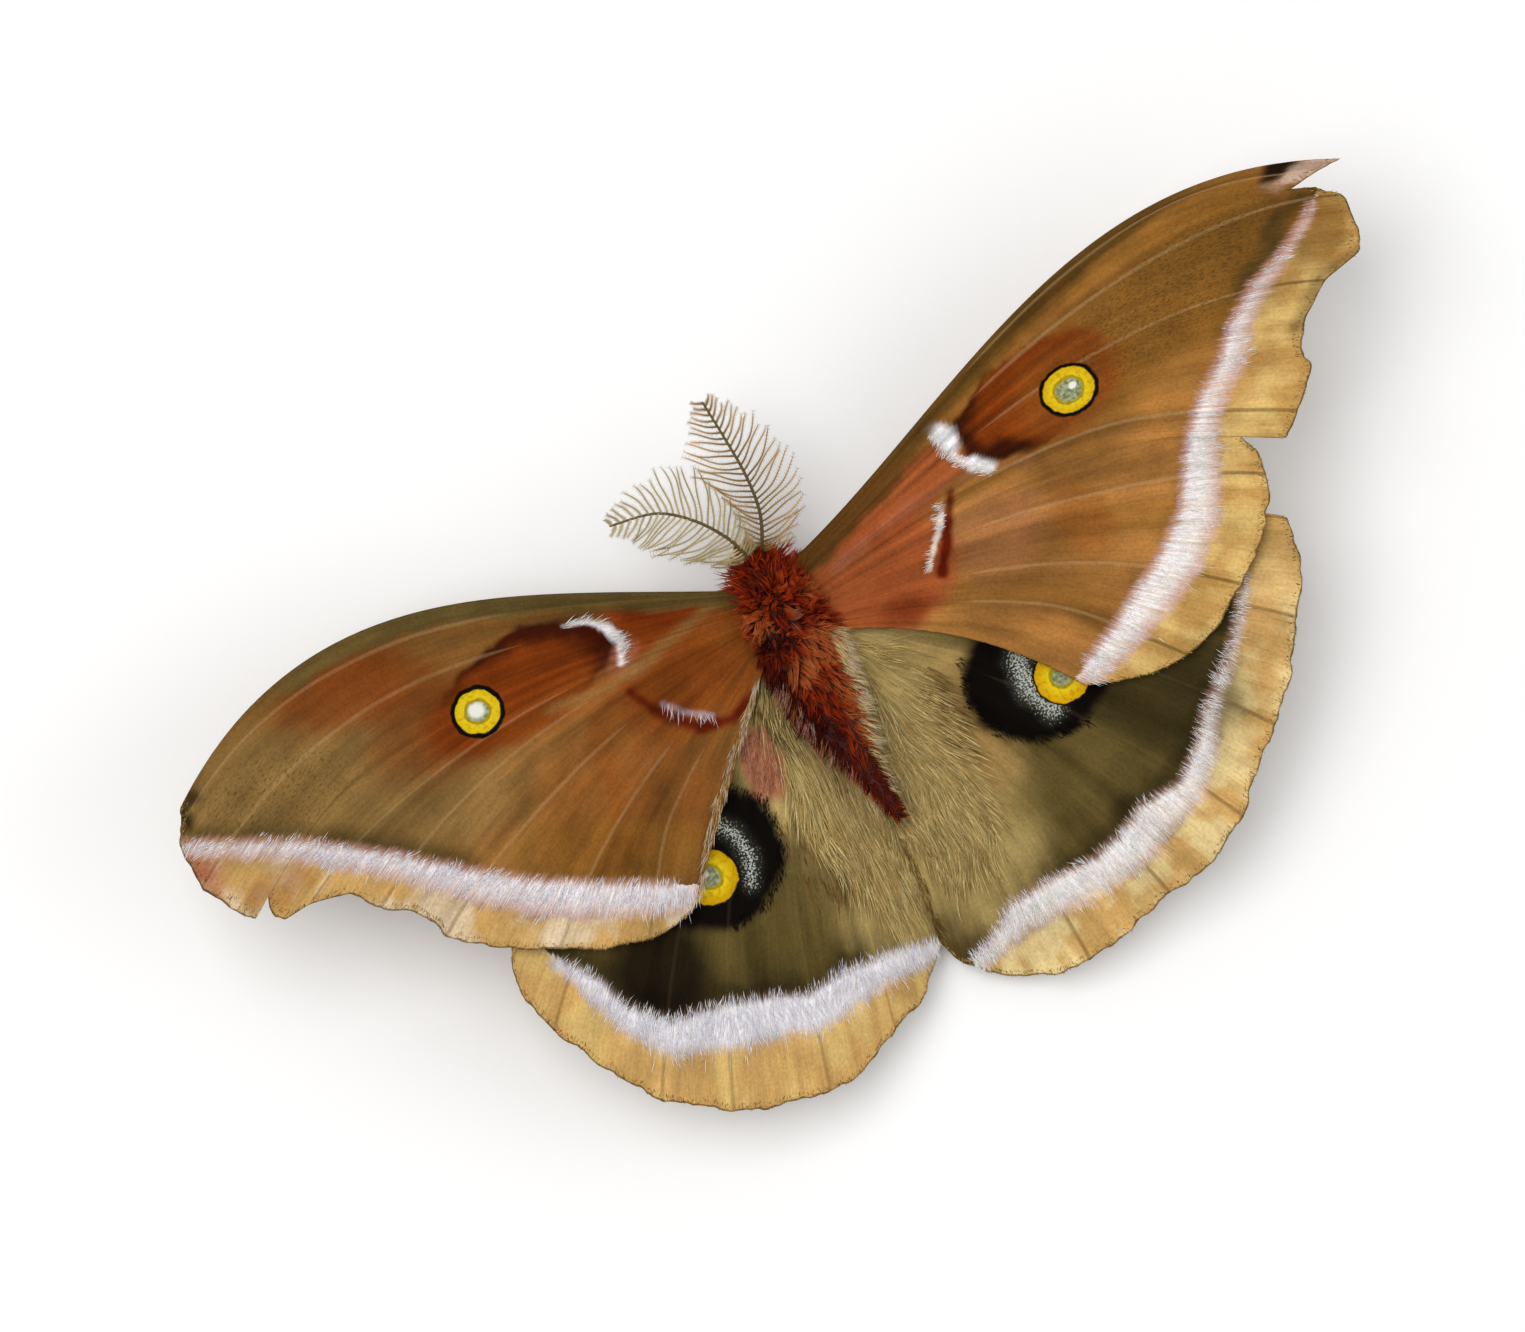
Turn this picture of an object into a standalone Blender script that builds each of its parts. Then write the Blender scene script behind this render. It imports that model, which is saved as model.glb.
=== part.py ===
"""A male polyphemus moth at rest, life size: wings open in a shallow V, six feet on the floor.

Each named part of the body is one closed solid: head, eyes, feelers, palps, thorax, abdomen, six
legs and four wings. Sizes are in millimetres, scaled by MM where a mesh is made. A place on the
moth is (x, f, z): x to the moth's left, f forwards from the middle of the thorax and z up from the
floor. In the model forwards is -Y. The wings are given as seen from above, x growing outwards on
either side.
"""

import math
from dataclasses import dataclass

import bmesh
import bpy
import numpy as np

MM = 0.001
CUT_GAP = 0.33
WING_CUT_GAP = 0.43

# Middle of the whole moth's box on the floor, seen from the middle of the thorax.
BOX_MIDDLE_X = -0.95
BOX_MIDDLE_F = -10.0

MEMBRANE = 0.5
VEIN_HEIGHT = 0.25
VEIN_HALF_WIDTH = 0.4
PANEL_SAG = 0.3
WING_ROWS = (0.0, 0.08, 0.18, 0.31, 0.45, 0.59, 0.73, 0.86, 0.95, 1.0)
VEINS_START = 0.1
MARGIN_FROM = 0.6
SMOOTHING_PASSES = 8

WING_BASE_LEVEL = 9.5
WING_BASE_X = 5.0
WING_SLOPE = 0.306
WING_ARCH = 0.00148
REAR_DROOP = 0.0022
HINDWING_DROP = 1.4
TROUGH_WIDTH = 3.6
LEADING_EDGE_ROLL = 0.7

THORAX_MIDDLE = (1.1, 0.2, 8.3)
THORAX_RADII = (3.8, 5.1, 3.5)
THORAX_BOXINESS = 2.7

HEAD_MIDDLE = (0.5, 6.3, 7.4)
HEAD_RADII = (2.1, 1.9, 2.0)
EYE_RADIUS = 1.15
EYE_OUT = 1.6
EYE_FORWARD = 0.3
EYE_DOWN = 0.35

ABDOMEN_LINE = (
    (1.2, -5.0, 7.7, 2.0),
    (1.2, -6.4, 7.6, 3.0),
    (1.1, -10.0, 7.1, 2.5),
    (0.9, -13.5, 6.7, 1.8),
    (0.5, -17.0, 6.3, 1.2),
    (0.1, -20.0, 6.0, 0.8),
    (-0.3, -22.3, 5.8, 0.45),
)

FEELER_RADIUS = 0.27
FEELER_TIP_RADIUS = 0.2
FEELER_RINGS = 14
FEELER_SIDES = 6
FEELER_STEPS = 400
FEELER_ROOT_SHARE = 0.3
BARB_RADIUS = 0.26
BARB_TAPER = ((0.0, 1.0), (0.5, 0.85), (1.0, 0.5))
BARB_SIDES = 3
BARB_LENGTH = 4.6
BARB_PAIRS = 13
BARB_FROM, BARB_TO = 0.2, 0.98
BARB_DROP = 0.5
BARB_LIFT = 0.9
BARB_CLEARANCE = 0.85

# The rooms of the head and the abdomen that the thorax's fur keeps out of.
HEAD_ZONE_SHIFT = (0.0, 0.9, 0.2)
HEAD_ZONE_RADII = (3.3, 2.9, 4.6)
HEAD_ZONE_BOXINESS = 2.4
ABDOMEN_ZONE_SHIFT = (0.0, -5.2, 0.0)
ABDOMEN_ZONE_RADII = (4.5, 6.0, 4.4)
ABDOMEN_ZONE_BOXINESS = 4.0
ZONE_SIDES, ZONE_RINGS = 16, 10

ROUND = 2.0
HEAD_SIDES, HEAD_RINGS = 14, 8
THORAX_SIDES, THORAX_RINGS = 18, 10
ABDOMEN_SIDES, ABDOMEN_RINGS = 14, 11
EYE_SIDES, EYE_RINGS = 12, 7
BAR_SIDES = 8
WING_ROOT_REACH = 0.25
LEG_ROOT_JOINTS = 4


def smooth_step(value, low, high):
    """0 below low, 1 above high, and a smooth rise between them."""
    t = np.clip((np.asarray(value, float) - low) / (high - low), 0.0, 1.0)
    return t * t * (3.0 - 2.0 * t)


def unit(vector):
    """The vector at length 1."""
    vector = np.asarray(vector, float)
    return vector / np.linalg.norm(vector)


@dataclass
class Fur:
    """Locks of fur in rings along one part of the body, from near its front to near its rear.

    around is the number of locks in the widest ring. length and bend are ranges, and wander is how
    far a lock may stand off its even place, as an angle. sink is how deep the root is set.
    """

    seed: int
    rings: int
    first: float
    last: float
    around: int
    length: tuple
    width: float
    thick: float
    sink: float
    bend: tuple
    wander: float

    def shares(self):
        """Where each ring stands, from first to last."""
        return np.linspace(self.first, self.last, self.rings)

    def turns(self, ring, count, rng):
        """The angle of each lock round the body, every second ring turned by half a step."""
        even = 2.0 * math.pi * (np.arange(count) + 0.5 * (ring % 2)) / count
        return even + rng.uniform(-self.wander, self.wander, count)


THORAX_FUR = Fur(3, 6, 0.15, 0.87, 11, (2.2, 2.9), 2.3, 0.65, 1.0, (0.5, 0.8), 0.07)
ABDOMEN_FUR = Fur(8, 7, 0.14, 0.96, 10, (1.9, 2.5), 1.35, 0.55, 1.0, (0.7, 0.9), 0.08)
HEAD_FUR = Fur(5, 3, 0.12, 0.5, 9, (1.0, 1.4), 0.95, 0.5, 0.7, (0.3, 0.6), 0.0)


@dataclass
class Wing:
    """One wing, seen from above: x outwards from the middle of the body, f forwards.

    margin runs from the front tip round to the inner corner. Each of its points is the end of a
    line from the root, and a name marks the ones where a vein ends. Bows are how far the lines
    stand off their chords at their two Bezier handles, at the front, fifth, middle and rear lines.
    trough is how deep the wing dips beside the body 10, 24 and 36 mm behind the thorax.
    """

    name: str
    side: int
    root_front: tuple
    root_rear: tuple
    near_bow: tuple
    far_bow: tuple
    margin: tuple
    drop: float
    trough: tuple = (0.0, 0.0, 0.0)

    def ends(self):
        """The margin's points as an array."""
        return np.array([point[:2] for point in self.margin], float)

    def smooth_ends(self):
        """The margin with its notches and teeth evened out, both end points kept."""
        even = self.ends()
        for _ in range(SMOOTHING_PASSES):
            even[1:-1] = 0.25 * even[:-2] + 0.5 * even[1:-1] + 0.25 * even[2:]
        return even

    def columns(self):
        """(u, vein height share) of each line: every margin point, with a foot on each side of a vein."""
        ends = self.ends()
        last = len(ends) - 1
        found = []
        for i, point in enumerate(self.margin):
            is_vein = bool(point[2])
            before = np.linalg.norm(ends[i] - ends[i - 1]) if i > 0 else 0.0
            after = np.linalg.norm(ends[i + 1] - ends[i]) if i < last else 0.0
            if is_vein and before > 2 * VEIN_HALF_WIDTH:
                found.append(((i - VEIN_HALF_WIDTH / before) / last, 0.0))
            found.append((i / last, 1.0 if is_vein else 0.0))
            if is_vein and after > 2 * VEIN_HALF_WIDTH:
                found.append(((i + VEIN_HALF_WIDTH / after) / last, 0.0))
        return found

    def plan(self, u, v):
        """Where the line u (0 front, 1 rear) is at v (0 root, 1 margin), as x and f."""
        u, v = float(u), float(v)
        steps = np.linspace(0.0, 1.0, len(self.margin))
        smooth, exact = (
            np.array([np.interp(u, steps, ends[:, k]) for k in (0, 1)])
            for ends in (self.smooth_ends(), self.ends())
        )
        root = np.array(self.root_front) * (1.0 - u) + np.array(self.root_rear) * u
        chord = smooth - root
        across = unit((-chord[1], chord[0]))
        near = np.interp(u, (0.0, 0.2, 0.5, 1.0), self.near_bow)
        far = np.interp(u, (0.0, 0.2, 0.5, 1.0), self.far_bow)
        bow = 3.0 * (1.0 - v) ** 2 * v * near + 3.0 * (1.0 - v) * v * v * far
        return root + chord * v + across * bow + (exact - smooth) * smooth_step(v, MARGIN_FROM, 1.0)

    def inward(self):
        """The direction from the wing's root line into the body."""
        along = unit(np.subtract(self.root_rear, self.root_front))
        return np.array((along[1], -along[0]))

    def level(self, x, f):
        """Height of the wing's middle surface over the floor at (x, f)."""
        out = x - WING_BASE_X
        rise = WING_SLOPE * out - WING_ARCH * out * abs(out)
        droop = REAR_DROOP * min(f + 2.0, 0.0) ** 2
        depth = np.interp(-f, (5.0, 10.0, 24.0, 36.0), (0.0,) + self.trough)
        dip = depth * math.exp(-((max(x - 1.5, 0.0) / TROUGH_WIDTH) ** 2))
        return WING_BASE_LEVEL + rise - droop - dip - self.drop

    def slope_factor(self, x, f):
        """How much taller than its thickness a sheet stands where the surface slopes."""
        step = 0.05
        by_x = (self.level(x + step, f) - self.level(x - step, f)) / (2.0 * step)
        by_f = (self.level(x, f + step) - self.level(x, f - step)) / (2.0 * step)
        return math.sqrt(1.0 + by_x * by_x + by_f * by_f)


LEFT_FOREWING = Wing(
    name="forewing_left",
    side=1,
    root_front=(3.7, 5.4),
    root_rear=(4.2, -1.6),
    near_bow=(6.8, 5.0, 4.5, 0.0),
    far_bow=(18.0, 12.0, 6.5, 0.5),
    margin=(
        (64.6, 13.2, ""),
        (66.2, 11.4, "radius"),
        (67.1, 8.6, ""),
        (67.0, 5.2, "media_1"),
        (65.3, 1.7, ""),
        (63.7, -0.1, ""),
        (61.4, 2.3, ""),
        (62.1, -0.7, ""),
        (61.2, -1.5, ""),
        (58.3, -1.3, "media_2"),
        (54.2, -2.3, ""),
        (52.4, -5.0, "media_3"),
        (49.4, -6.9, ""),
        (48.2, -8.8, ""),
        (47.9, -10.6, "cubitus_1"),
        (45.4, -12.8, ""),
        (42.2, -15.0, ""),
        (38.4, -17.2, "cubitus_2"),
        (33.9, -19.4, ""),
        (29.6, -20.6, "anal"),
        (26.8, -20.8, ""),
        (24.2, -20.3, ""),
        (22.2, -18.8, ""),
    ),
    drop=0.0,
)

RIGHT_FOREWING = Wing(
    name="forewing_right",
    side=-1,
    root_front=(1.9, 5.2),
    root_rear=(2.2, -2.4),
    near_bow=(2.7, 3.5, 4.5, 3.0),
    far_bow=(16.4, 12.0, 7.0, 2.8),
    margin=(
        (69.0, 14.0, ""),
        (66.0, 14.0, "radius"),
        (61.4, 13.5, ""),
        (65.4, 12.5, ""),
        (67.0, 10.8, "media_1"),
        (67.0, 7.0, ""),
        (66.0, 4.9, ""),
        (61.5, 4.1, "media_2"),
        (58.0, 1.7, ""),
        (56.3, -0.6, ""),
        (56.1, -2.7, ""),
        (53.0, -6.0, "media_3"),
        (50.5, -7.9, ""),
        (46.7, -4.9, ""),
        (47.3, -7.6, ""),
        (47.2, -10.0, "cubitus_1"),
        (46.0, -12.8, ""),
        (43.6, -15.6, ""),
        (39.8, -18.5, "cubitus_2"),
        (36.0, -21.0, ""),
        (32.0, -22.1, "anal"),
        (28.4, -22.0, ""),
        (25.0, -21.1, ""),
        (21.7, -19.8, ""),
    ),
    drop=0.0,
)

LEFT_HINDWING = Wing(
    name="hindwing_left",
    side=1,
    root_front=(4.3, 0.8),
    root_rear=(3.0, -4.0),
    near_bow=(3.0, 3.0, 3.0, -4.2),
    far_bow=(5.0, 4.0, 3.0, -1.6),
    margin=(
        (41.3, -12.6, ""),
        (43.0, -16.0, "radius"),
        (43.6, -20.0, ""),
        (42.7, -24.0, "media_1"),
        (40.6, -27.8, ""),
        (38.2, -32.2, ""),
        (36.0, -35.2, "media_2"),
        (33.0, -37.8, ""),
        (30.0, -39.8, "media_3"),
        (26.6, -41.4, ""),
        (23.2, -42.0, ""),
        (20.0, -42.8, "cubitus_1"),
        (16.8, -43.0, ""),
        (13.8, -41.8, ""),
        (10.8, -40.7, "cubitus_2"),
        (7.2, -39.7, ""),
        (4.8, -38.0, "anal"),
        (2.7, -36.2, ""),
    ),
    drop=HINDWING_DROP,
    trough=(4.2, 3.4, 2.2),
)

RIGHT_HINDWING = Wing(
    name="hindwing_right",
    side=-1,
    root_front=(2.5, 0.6),
    root_rear=(1.3, -4.0),
    near_bow=(3.0, 3.0, 3.0, 0.5),
    far_bow=(5.0, 4.0, 3.0, 0.5),
    margin=(
        (44.6, -12.4, ""),
        (47.2, -14.8, "radius"),
        (46.6, -19.2, ""),
        (43.6, -24.2, "media_1"),
        (40.6, -28.4, ""),
        (36.8, -32.6, "media_2"),
        (33.2, -35.4, ""),
        (29.8, -39.0, "media_3"),
        (25.0, -41.8, ""),
        (20.0, -42.1, "cubitus_1"),
        (15.0, -43.5, ""),
        (10.2, -44.3, "cubitus_2"),
        (6.2, -43.8, ""),
        (3.0, -42.0, ""),
        (0.4, -39.8, "anal"),
        (-1.0, -37.8, ""),
        (-1.9, -35.3, ""),
    ),
    drop=HINDWING_DROP,
    trough=(4.2, 2.2, 1.0),
)

WINGS = (LEFT_FOREWING, RIGHT_FOREWING, LEFT_HINDWING, RIGHT_HINDWING)

# Each leg's joints from hip to toe, out from the middle of the thorax, with the limb's radius.
FRONT_LEG = (
    (1.6, 3.4, 5.6, 0.85),
    (2.4, 4.0, 3.7, 0.8),
    (3.4, 4.5, 3.9, 0.8),
    (5.2, 5.1, 4.7, 0.55),
    (5.9, 4.8, 2.8, 0.55),
    (6.5, 4.5, 0.9, 0.4),
    (7.1, 4.5, 0.25, 0.32),
    (8.0, 4.6, 0.24, 0.3),
    (8.7, 4.7, 0.2, 0.26),
)
MIDDLE_LEG = (
    (2.0, 0.7, 5.4, 0.85),
    (3.0, 0.6, 3.7, 0.8),
    (4.6, 0.8, 4.3, 0.8),
    (7.2, 1.1, 5.3, 0.55),
    (8.6, 0.7, 3.0, 0.55),
    (9.8, 0.3, 0.9, 0.4),
    (10.5, 0.0, 0.25, 0.32),
    (12.0, -0.5, 0.24, 0.3),
    (13.0, -0.8, 0.2, 0.26),
)
HIND_LEG = (
    (1.8, -1.9, 5.6, 0.85),
    (2.6, -2.6, 3.7, 0.8),
    (4.0, -3.8, 3.9, 0.8),
    (6.4, -5.6, 4.6, 0.55),
    (7.4, -7.6, 2.8, 0.55),
    (8.2, -9.4, 0.9, 0.4),
    (8.5, -10.2, 0.25, 0.32),
    (9.1, -12.2, 0.24, 0.3),
    (9.5, -13.4, 0.2, 0.26),
)
LEGS = {"front": FRONT_LEG, "middle": MIDDLE_LEG, "hind": HIND_LEG}

# Each feeler's shaft from its root in the head to its tip.
LEFT_FEELER = (
    (1.05, 6.9, 8.4),
    (1.3, 8.2, 9.5),
    (2.3, 10.6, 10.5),
    (4.6, 13.7, 11.4),
    (7.8, 16.1, 12.2),
    (12.6, 17.2, 12.6),
)
RIGHT_FEELER = (
    (-0.1, 6.9, 8.4),
    (-0.7, 8.2, 9.5),
    (-1.9, 11.2, 10.6),
    (-2.3, 15.0, 11.5),
    (-2.1, 19.4, 12.3),
    (-1.8, 23.7, 12.8),
)

CHESTNUT = (0.16, 0.035, 0.012)
TAN = (0.36, 0.17, 0.06)
OLIVE = (0.22, 0.15, 0.06)
STRAW = (0.42, 0.3, 0.13)
NEAR_BLACK = (0.02, 0.012, 0.01)


def place(points):
    """Moth places (x, f, z) in millimetres as the model's metres."""
    points = np.asarray(points, float)
    return np.column_stack(
        (
            (points[:, 0] - BOX_MIDDLE_X) * MM,
            -(points[:, 1] - BOX_MIDDLE_F) * MM,
            points[:, 2] * MM,
        )
    )


def clear_scene():
    """Removes every object of the startup scene."""
    for obj in list(bpy.data.objects):
        bpy.data.objects.remove(obj)


def finish_of(name, colour, roughness):
    """A plain matt material."""
    material = bpy.data.materials.new(name)
    material.use_nodes = True
    shader = material.node_tree.nodes["Principled BSDF"]
    shader.inputs["Base Color"].default_value = (*colour, 1.0)
    shader.inputs["Roughness"].default_value = roughness
    return material


def solid(name, points, faces, material=None):
    """A mesh object of one closed surface, its faces turned outwards."""
    mesh = bpy.data.meshes.new(name)
    mesh.from_pydata(place(points).tolist(), [], [list(face) for face in faces])
    shape = bmesh.new()
    shape.from_mesh(mesh)
    bmesh.ops.recalc_face_normals(shape, faces=shape.faces)
    if shape.calc_volume(signed=True) < 0.0:
        bmesh.ops.reverse_faces(shape, faces=shape.faces)
    shape.to_mesh(mesh)
    shape.free()
    if material:
        mesh.materials.append(material)
    obj = bpy.data.objects.new(name, mesh)
    bpy.context.scene.collection.objects.link(obj)
    return obj


def tube_mesh(line, sides, floor=None):
    """Points and faces of a round bar along (x, f, z, radius) points, closed with a point at each end."""
    line = np.asarray(line, float)
    spine, radii = line[:, :3], line[:, 3]
    points, faces = [spine[0] - 0.4 * radii[0] * unit(spine[1] - spine[0])], []
    for i, middle in enumerate(spine):
        ahead = spine[min(i + 1, len(spine) - 1)] - spine[max(i - 1, 0)]
        along = unit(ahead)
        level = np.array((0.0, 0.0, 1.0)) if abs(along[2]) < 0.9 else np.array((0.0, 1.0, 0.0))
        side = unit(np.cross(along, level))
        up = np.cross(side, along)
        for k in range(sides):
            angle = 2.0 * math.pi * (k + 0.5) / sides
            points.append(middle + radii[i] * (math.cos(angle) * side + math.sin(angle) * up))
    points.append(spine[-1] + 0.4 * radii[-1] * unit(spine[-1] - spine[-2]))
    points = np.array(points)
    if floor is not None:
        points[:, 2] = np.maximum(points[:, 2], floor)
    last = len(points) - 1
    for k in range(sides):
        following = (k + 1) % sides
        faces.append((0, 1 + following, 1 + k))
        start = 1 + (len(spine) - 1) * sides
        faces.append((last, start + k, start + following))
        for i in range(len(spine) - 1):
            here = 1 + i * sides
            there = here + sides
            faces.append((here + k, here + following, there + following))
            faces.append((here + k, there + following, there + k))
    return points, faces


def smooth_line(knots, count):
    """count points on a smooth curve through the knots, each coordinate a Catmull-Rom spline."""
    knots = np.asarray(knots, float)
    padded = np.vstack((2 * knots[0] - knots[1], knots, 2 * knots[-1] - knots[-2]))
    found = []
    for place_on in np.linspace(0.0, len(knots) - 1.0, count):
        i = min(int(place_on), len(knots) - 2)
        t = place_on - i
        a, b, c, d = padded[i : i + 4]
        found.append(
            0.5 * (2 * b + (c - a) * t + (2 * a - 5 * b + 4 * c - d) * t**2 + (3 * b - a - 3 * c + d) * t**3)
        )
    return np.array(found)


def egg_point(middle, radii, boxiness, turn, tilt):
    """A point on a rounded box: turn is the angle round the body's axis, tilt the one from its front."""
    ring = math.sin(tilt) ** (2.0 / boxiness)
    along = math.copysign(abs(math.cos(tilt)) ** (2.0 / boxiness), math.cos(tilt))
    return np.array(
        (
            middle[0] + radii[0] * ring * math.cos(turn),
            middle[1] + radii[1] * along,
            middle[2] + radii[2] * ring * math.sin(turn),
        )
    )


def egg_mesh(middle, radii, boxiness, around, rings, grow=0.0):
    """Points and faces of a rounded box with its axis along f."""
    radii = [radius + grow for radius in radii]
    points = [np.array(middle) + (0.0, radii[1], 0.0)]
    for i in range(1, rings):
        for k in range(around):
            points.append(
                egg_point(middle, radii, boxiness, 2 * math.pi * k / around, math.pi * i / rings)
            )
    points.append(np.array(middle) - (0.0, radii[1], 0.0))
    last = len(points) - 1
    faces = []
    for k in range(around):
        following = (k + 1) % around
        faces.append((0, 1 + k, 1 + following))
        start = 1 + (rings - 2) * around
        faces.append((last, start + following, start + k))
        for i in range(rings - 2):
            here = 1 + i * around
            there = here + around
            faces.append((here + k, there + k, there + following))
            faces.append((here + k, there + following, here + following))
    return points, faces


def lock_mesh(root, normal, lie, length, width, thick, sink, bend):
    """Points and faces of one flat tapered lock of hair.

    It leaves the skin between the normal and the lie, bends over towards the lie, and ends in a
    point. Its root is sunk under the skin.
    """
    normal, lie = unit(normal), unit(lie)
    heading = unit(normal * (1.0 - 0.5 * bend) + lie * 0.5 * bend)
    side = np.cross(heading, normal)
    if np.linalg.norm(side) < 0.2:
        side = np.cross(heading, (0.0, 0.0, 1.0)) + np.cross(heading, (0.3, 0.0, 0.0))
    side = unit(side)
    here = np.asarray(root, float) - heading * sink
    points, shares = [], ((0.0, 0.85), (0.5, 1.0), (1.0, 0.62))
    for at, share in shares:
        middle = here + heading * (sink + at * length * 0.62) if at else here
        flat = unit(np.cross(side, heading))
        for across, up in ((-0.5, -0.5), (0.5, -0.5), (0.5, 0.5), (-0.5, 0.5)):
            points.append(middle + side * across * width * share + flat * up * thick * share)
    tip_heading = unit(normal * (1.0 - bend) + lie * bend)
    points.append(middle + tip_heading * length * 0.45)
    faces = [(0, 1, 2), (0, 2, 3)]
    for i in range(len(shares) - 1):
        for k in range(4):
            a, b = 4 * i + k, 4 * i + (k + 1) % 4
            faces += [(a, b, b + 4), (a, b + 4, a + 4)]
    start = 4 * (len(shares) - 1)
    faces += [(start + k, start + (k + 1) % 4, len(points) - 1) for k in range(4)]
    return points, faces


def joined(base, pieces, operation):
    """base with the pieces joined to it or cut from it, as one closed body, the pieces removed."""
    group = bpy.data.collections.new(base.name + "_" + operation.lower())
    bpy.context.scene.collection.children.link(group)
    for piece in pieces:
        bpy.context.scene.collection.objects.unlink(piece)
        group.objects.link(piece)
    boolean = base.modifiers.new("join", "BOOLEAN")
    boolean.operation = operation
    boolean.operand_type = "COLLECTION"
    boolean.collection = group
    boolean.solver = "EXACT"
    graph = bpy.context.evaluated_depsgraph_get()
    mesh = bpy.data.meshes.new_from_object(base.evaluated_get(graph))
    base.modifiers.clear()
    mesh.name = base.name
    base.data = mesh
    for piece in list(group.objects):
        bpy.data.objects.remove(piece)
    bpy.data.collections.remove(group)
    keep_largest(base)
    return base


def keep_largest(obj):
    """Keeps the object's largest closed surface and drops the scraps and sealed hollows."""
    shape = bmesh.new()
    shape.from_mesh(obj.data)
    left, islands = set(shape.verts), []
    while left:
        front = [left.pop()]
        island = set(front)
        while front:
            for edge in front.pop().link_edges:
                for vert in edge.verts:
                    if vert in left:
                        left.discard(vert)
                        island.add(vert)
                        front.append(vert)
        islands.append(island)
    islands.sort(key=len)
    scraps = [vert for island in islands[:-1] for vert in island]
    bmesh.ops.delete(shape, geom=scraps, context="VERTS")
    shape.to_mesh(obj.data)
    shape.free()


def wing_mesh(wing, rows=WING_ROWS, grow=0.0):
    """Points and faces of a wing as a sheet, its veins raised in its upper face.

    Both faces are split into the same triangles. grow thickens the sheet and widens its root end,
    which makes the room that a neighbour leaves free round the wing.
    """
    columns = wing.columns()
    upper, lower = [], []
    for u, vein in columns:
        for v in rows:
            x, f = wing.plan(u, v)
            if grow:
                ahead = unit(wing.plan(u, min(v + 0.05, 1.0)) - wing.plan(u, max(v - 0.05, 0.0)))
                beside = np.array((-ahead[1], ahead[0]))
                edge = float(u == 0.0) - float(u == 1.0)
                x, f = (x, f) + grow * 1.4 * (beside * edge + wing.inward() * float(v == 0.0))
            z = wing.level(x, f) - LEADING_EDGE_ROLL * (1.0 - u) ** 24 * smooth_step(v, 0.0, 0.3)
            if not vein and 0.0 < u < 1.0:
                z -= PANEL_SAG * float(smooth_step(v, 0.5, 1.0)) * (0.0 if grow else 1.0)
            half = (0.5 * MEMBRANE + grow) * wing.slope_factor(x, f)
            ridge = vein * VEIN_HEIGHT * float(smooth_step(v, VEINS_START, 0.3))
            upper.append((wing.side * x, f, z + half + ridge))
            lower.append((wing.side * x, f, z - half))
    wide, long = len(columns), len(rows)
    count = wide * long
    faces = []
    for i in range(wide - 1):
        for j in range(long - 1):
            a, b = i * long + j, i * long + j + 1
            c, d = b + long, a + long
            faces += [(a, b, c), (a, c, d)]
            faces += [(count + a, count + c, count + b), (count + a, count + d, count + c)]
    rim = [i * long for i in range(wide)]
    rim += [(wide - 1) * long + j for j in range(1, long)]
    rim += [i * long + long - 1 for i in range(wide - 2, -1, -1)]
    rim += [j for j in range(long - 2, 0, -1)]
    for a, b in zip(rim, rim[1:] + rim[:1]):
        faces += [(a, b, count + b), (a, count + b, count + a)]
    return upper + lower, faces


def wing_room(wing, reach):
    """A cutter that leaves the gap round the inner part of a wing."""
    rows = [row for row in WING_ROWS if row <= reach]
    return solid(wing.name + "_room", *wing_mesh(wing, rows, WING_CUT_GAP))


def bar_room(line):
    """A cutter that leaves the gap round a bar given as (x, f, z, radius) points."""
    wide = [(x, f, z, radius + CUT_GAP) for x, f, z, radius in line]
    first, second = np.array(wide[0][:3]), np.array(wide[1][:3])
    start = first - CUT_GAP * unit(second - first)
    return solid("room", *tube_mesh([(*start, wide[0][3])] + wide, BAR_SIDES))


def leg_line(joints, side):
    """A leg's joints on one side of the thorax."""
    middle = THORAX_MIDDLE[0]
    return [(middle + side * x, f, z, radius) for x, f, z, radius in joints]


def build_wings():
    """The four wings."""
    finishes = {
        "forewing_left": finish_of("forewing_scales", TAN, 0.75),
        "hindwing_left": finish_of("hindwing_scales", OLIVE, 0.8),
    }
    finishes["forewing_right"] = finishes["forewing_left"]
    finishes["hindwing_right"] = finishes["hindwing_left"]
    for wing in WINGS:
        solid(wing.name, *wing_mesh(wing), finishes[wing.name])


def build_legs():
    """Six legs, each from its hip in the thorax to a foot flat on the floor."""
    finish = finish_of("leg_fur", CHESTNUT, 0.8)
    for name, joints in LEGS.items():
        for word, side in (("left", 1), ("right", -1)):
            solid(f"leg_{name}_{word}", *tube_mesh(leg_line(joints, side), BAR_SIDES, floor=0.0), finish)


def build_eyes():
    """The two compound eyes."""
    finish = finish_of("eye", NEAR_BLACK, 0.25)
    for word, side in (("left", 1), ("right", -1)):
        points, faces = egg_mesh(eye_middle(side), (EYE_RADIUS,) * 3, ROUND, EYE_SIDES, EYE_RINGS)
        solid(f"eye_{word}", points, faces, finish)


def eye_middle(side):
    """The middle of one eye."""
    x, f, z = HEAD_MIDDLE
    return (x + side * EYE_OUT, f + EYE_FORWARD, z - EYE_DOWN)


def feeler_radius(share):
    """Radius of a feeler's shaft at a share of its length."""
    return FEELER_RADIUS * (1.0 - share) + FEELER_TIP_RADIUS * share


def feeler_spacing(knots, point):
    """How far a barb may reach from a point on one feeler before it would touch the other's shaft."""
    other = RIGHT_FEELER if knots is LEFT_FEELER else LEFT_FEELER
    return BARB_CLEARANCE * np.linalg.norm(smooth_line(other, FEELER_STEPS) - point, axis=1).min()


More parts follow.
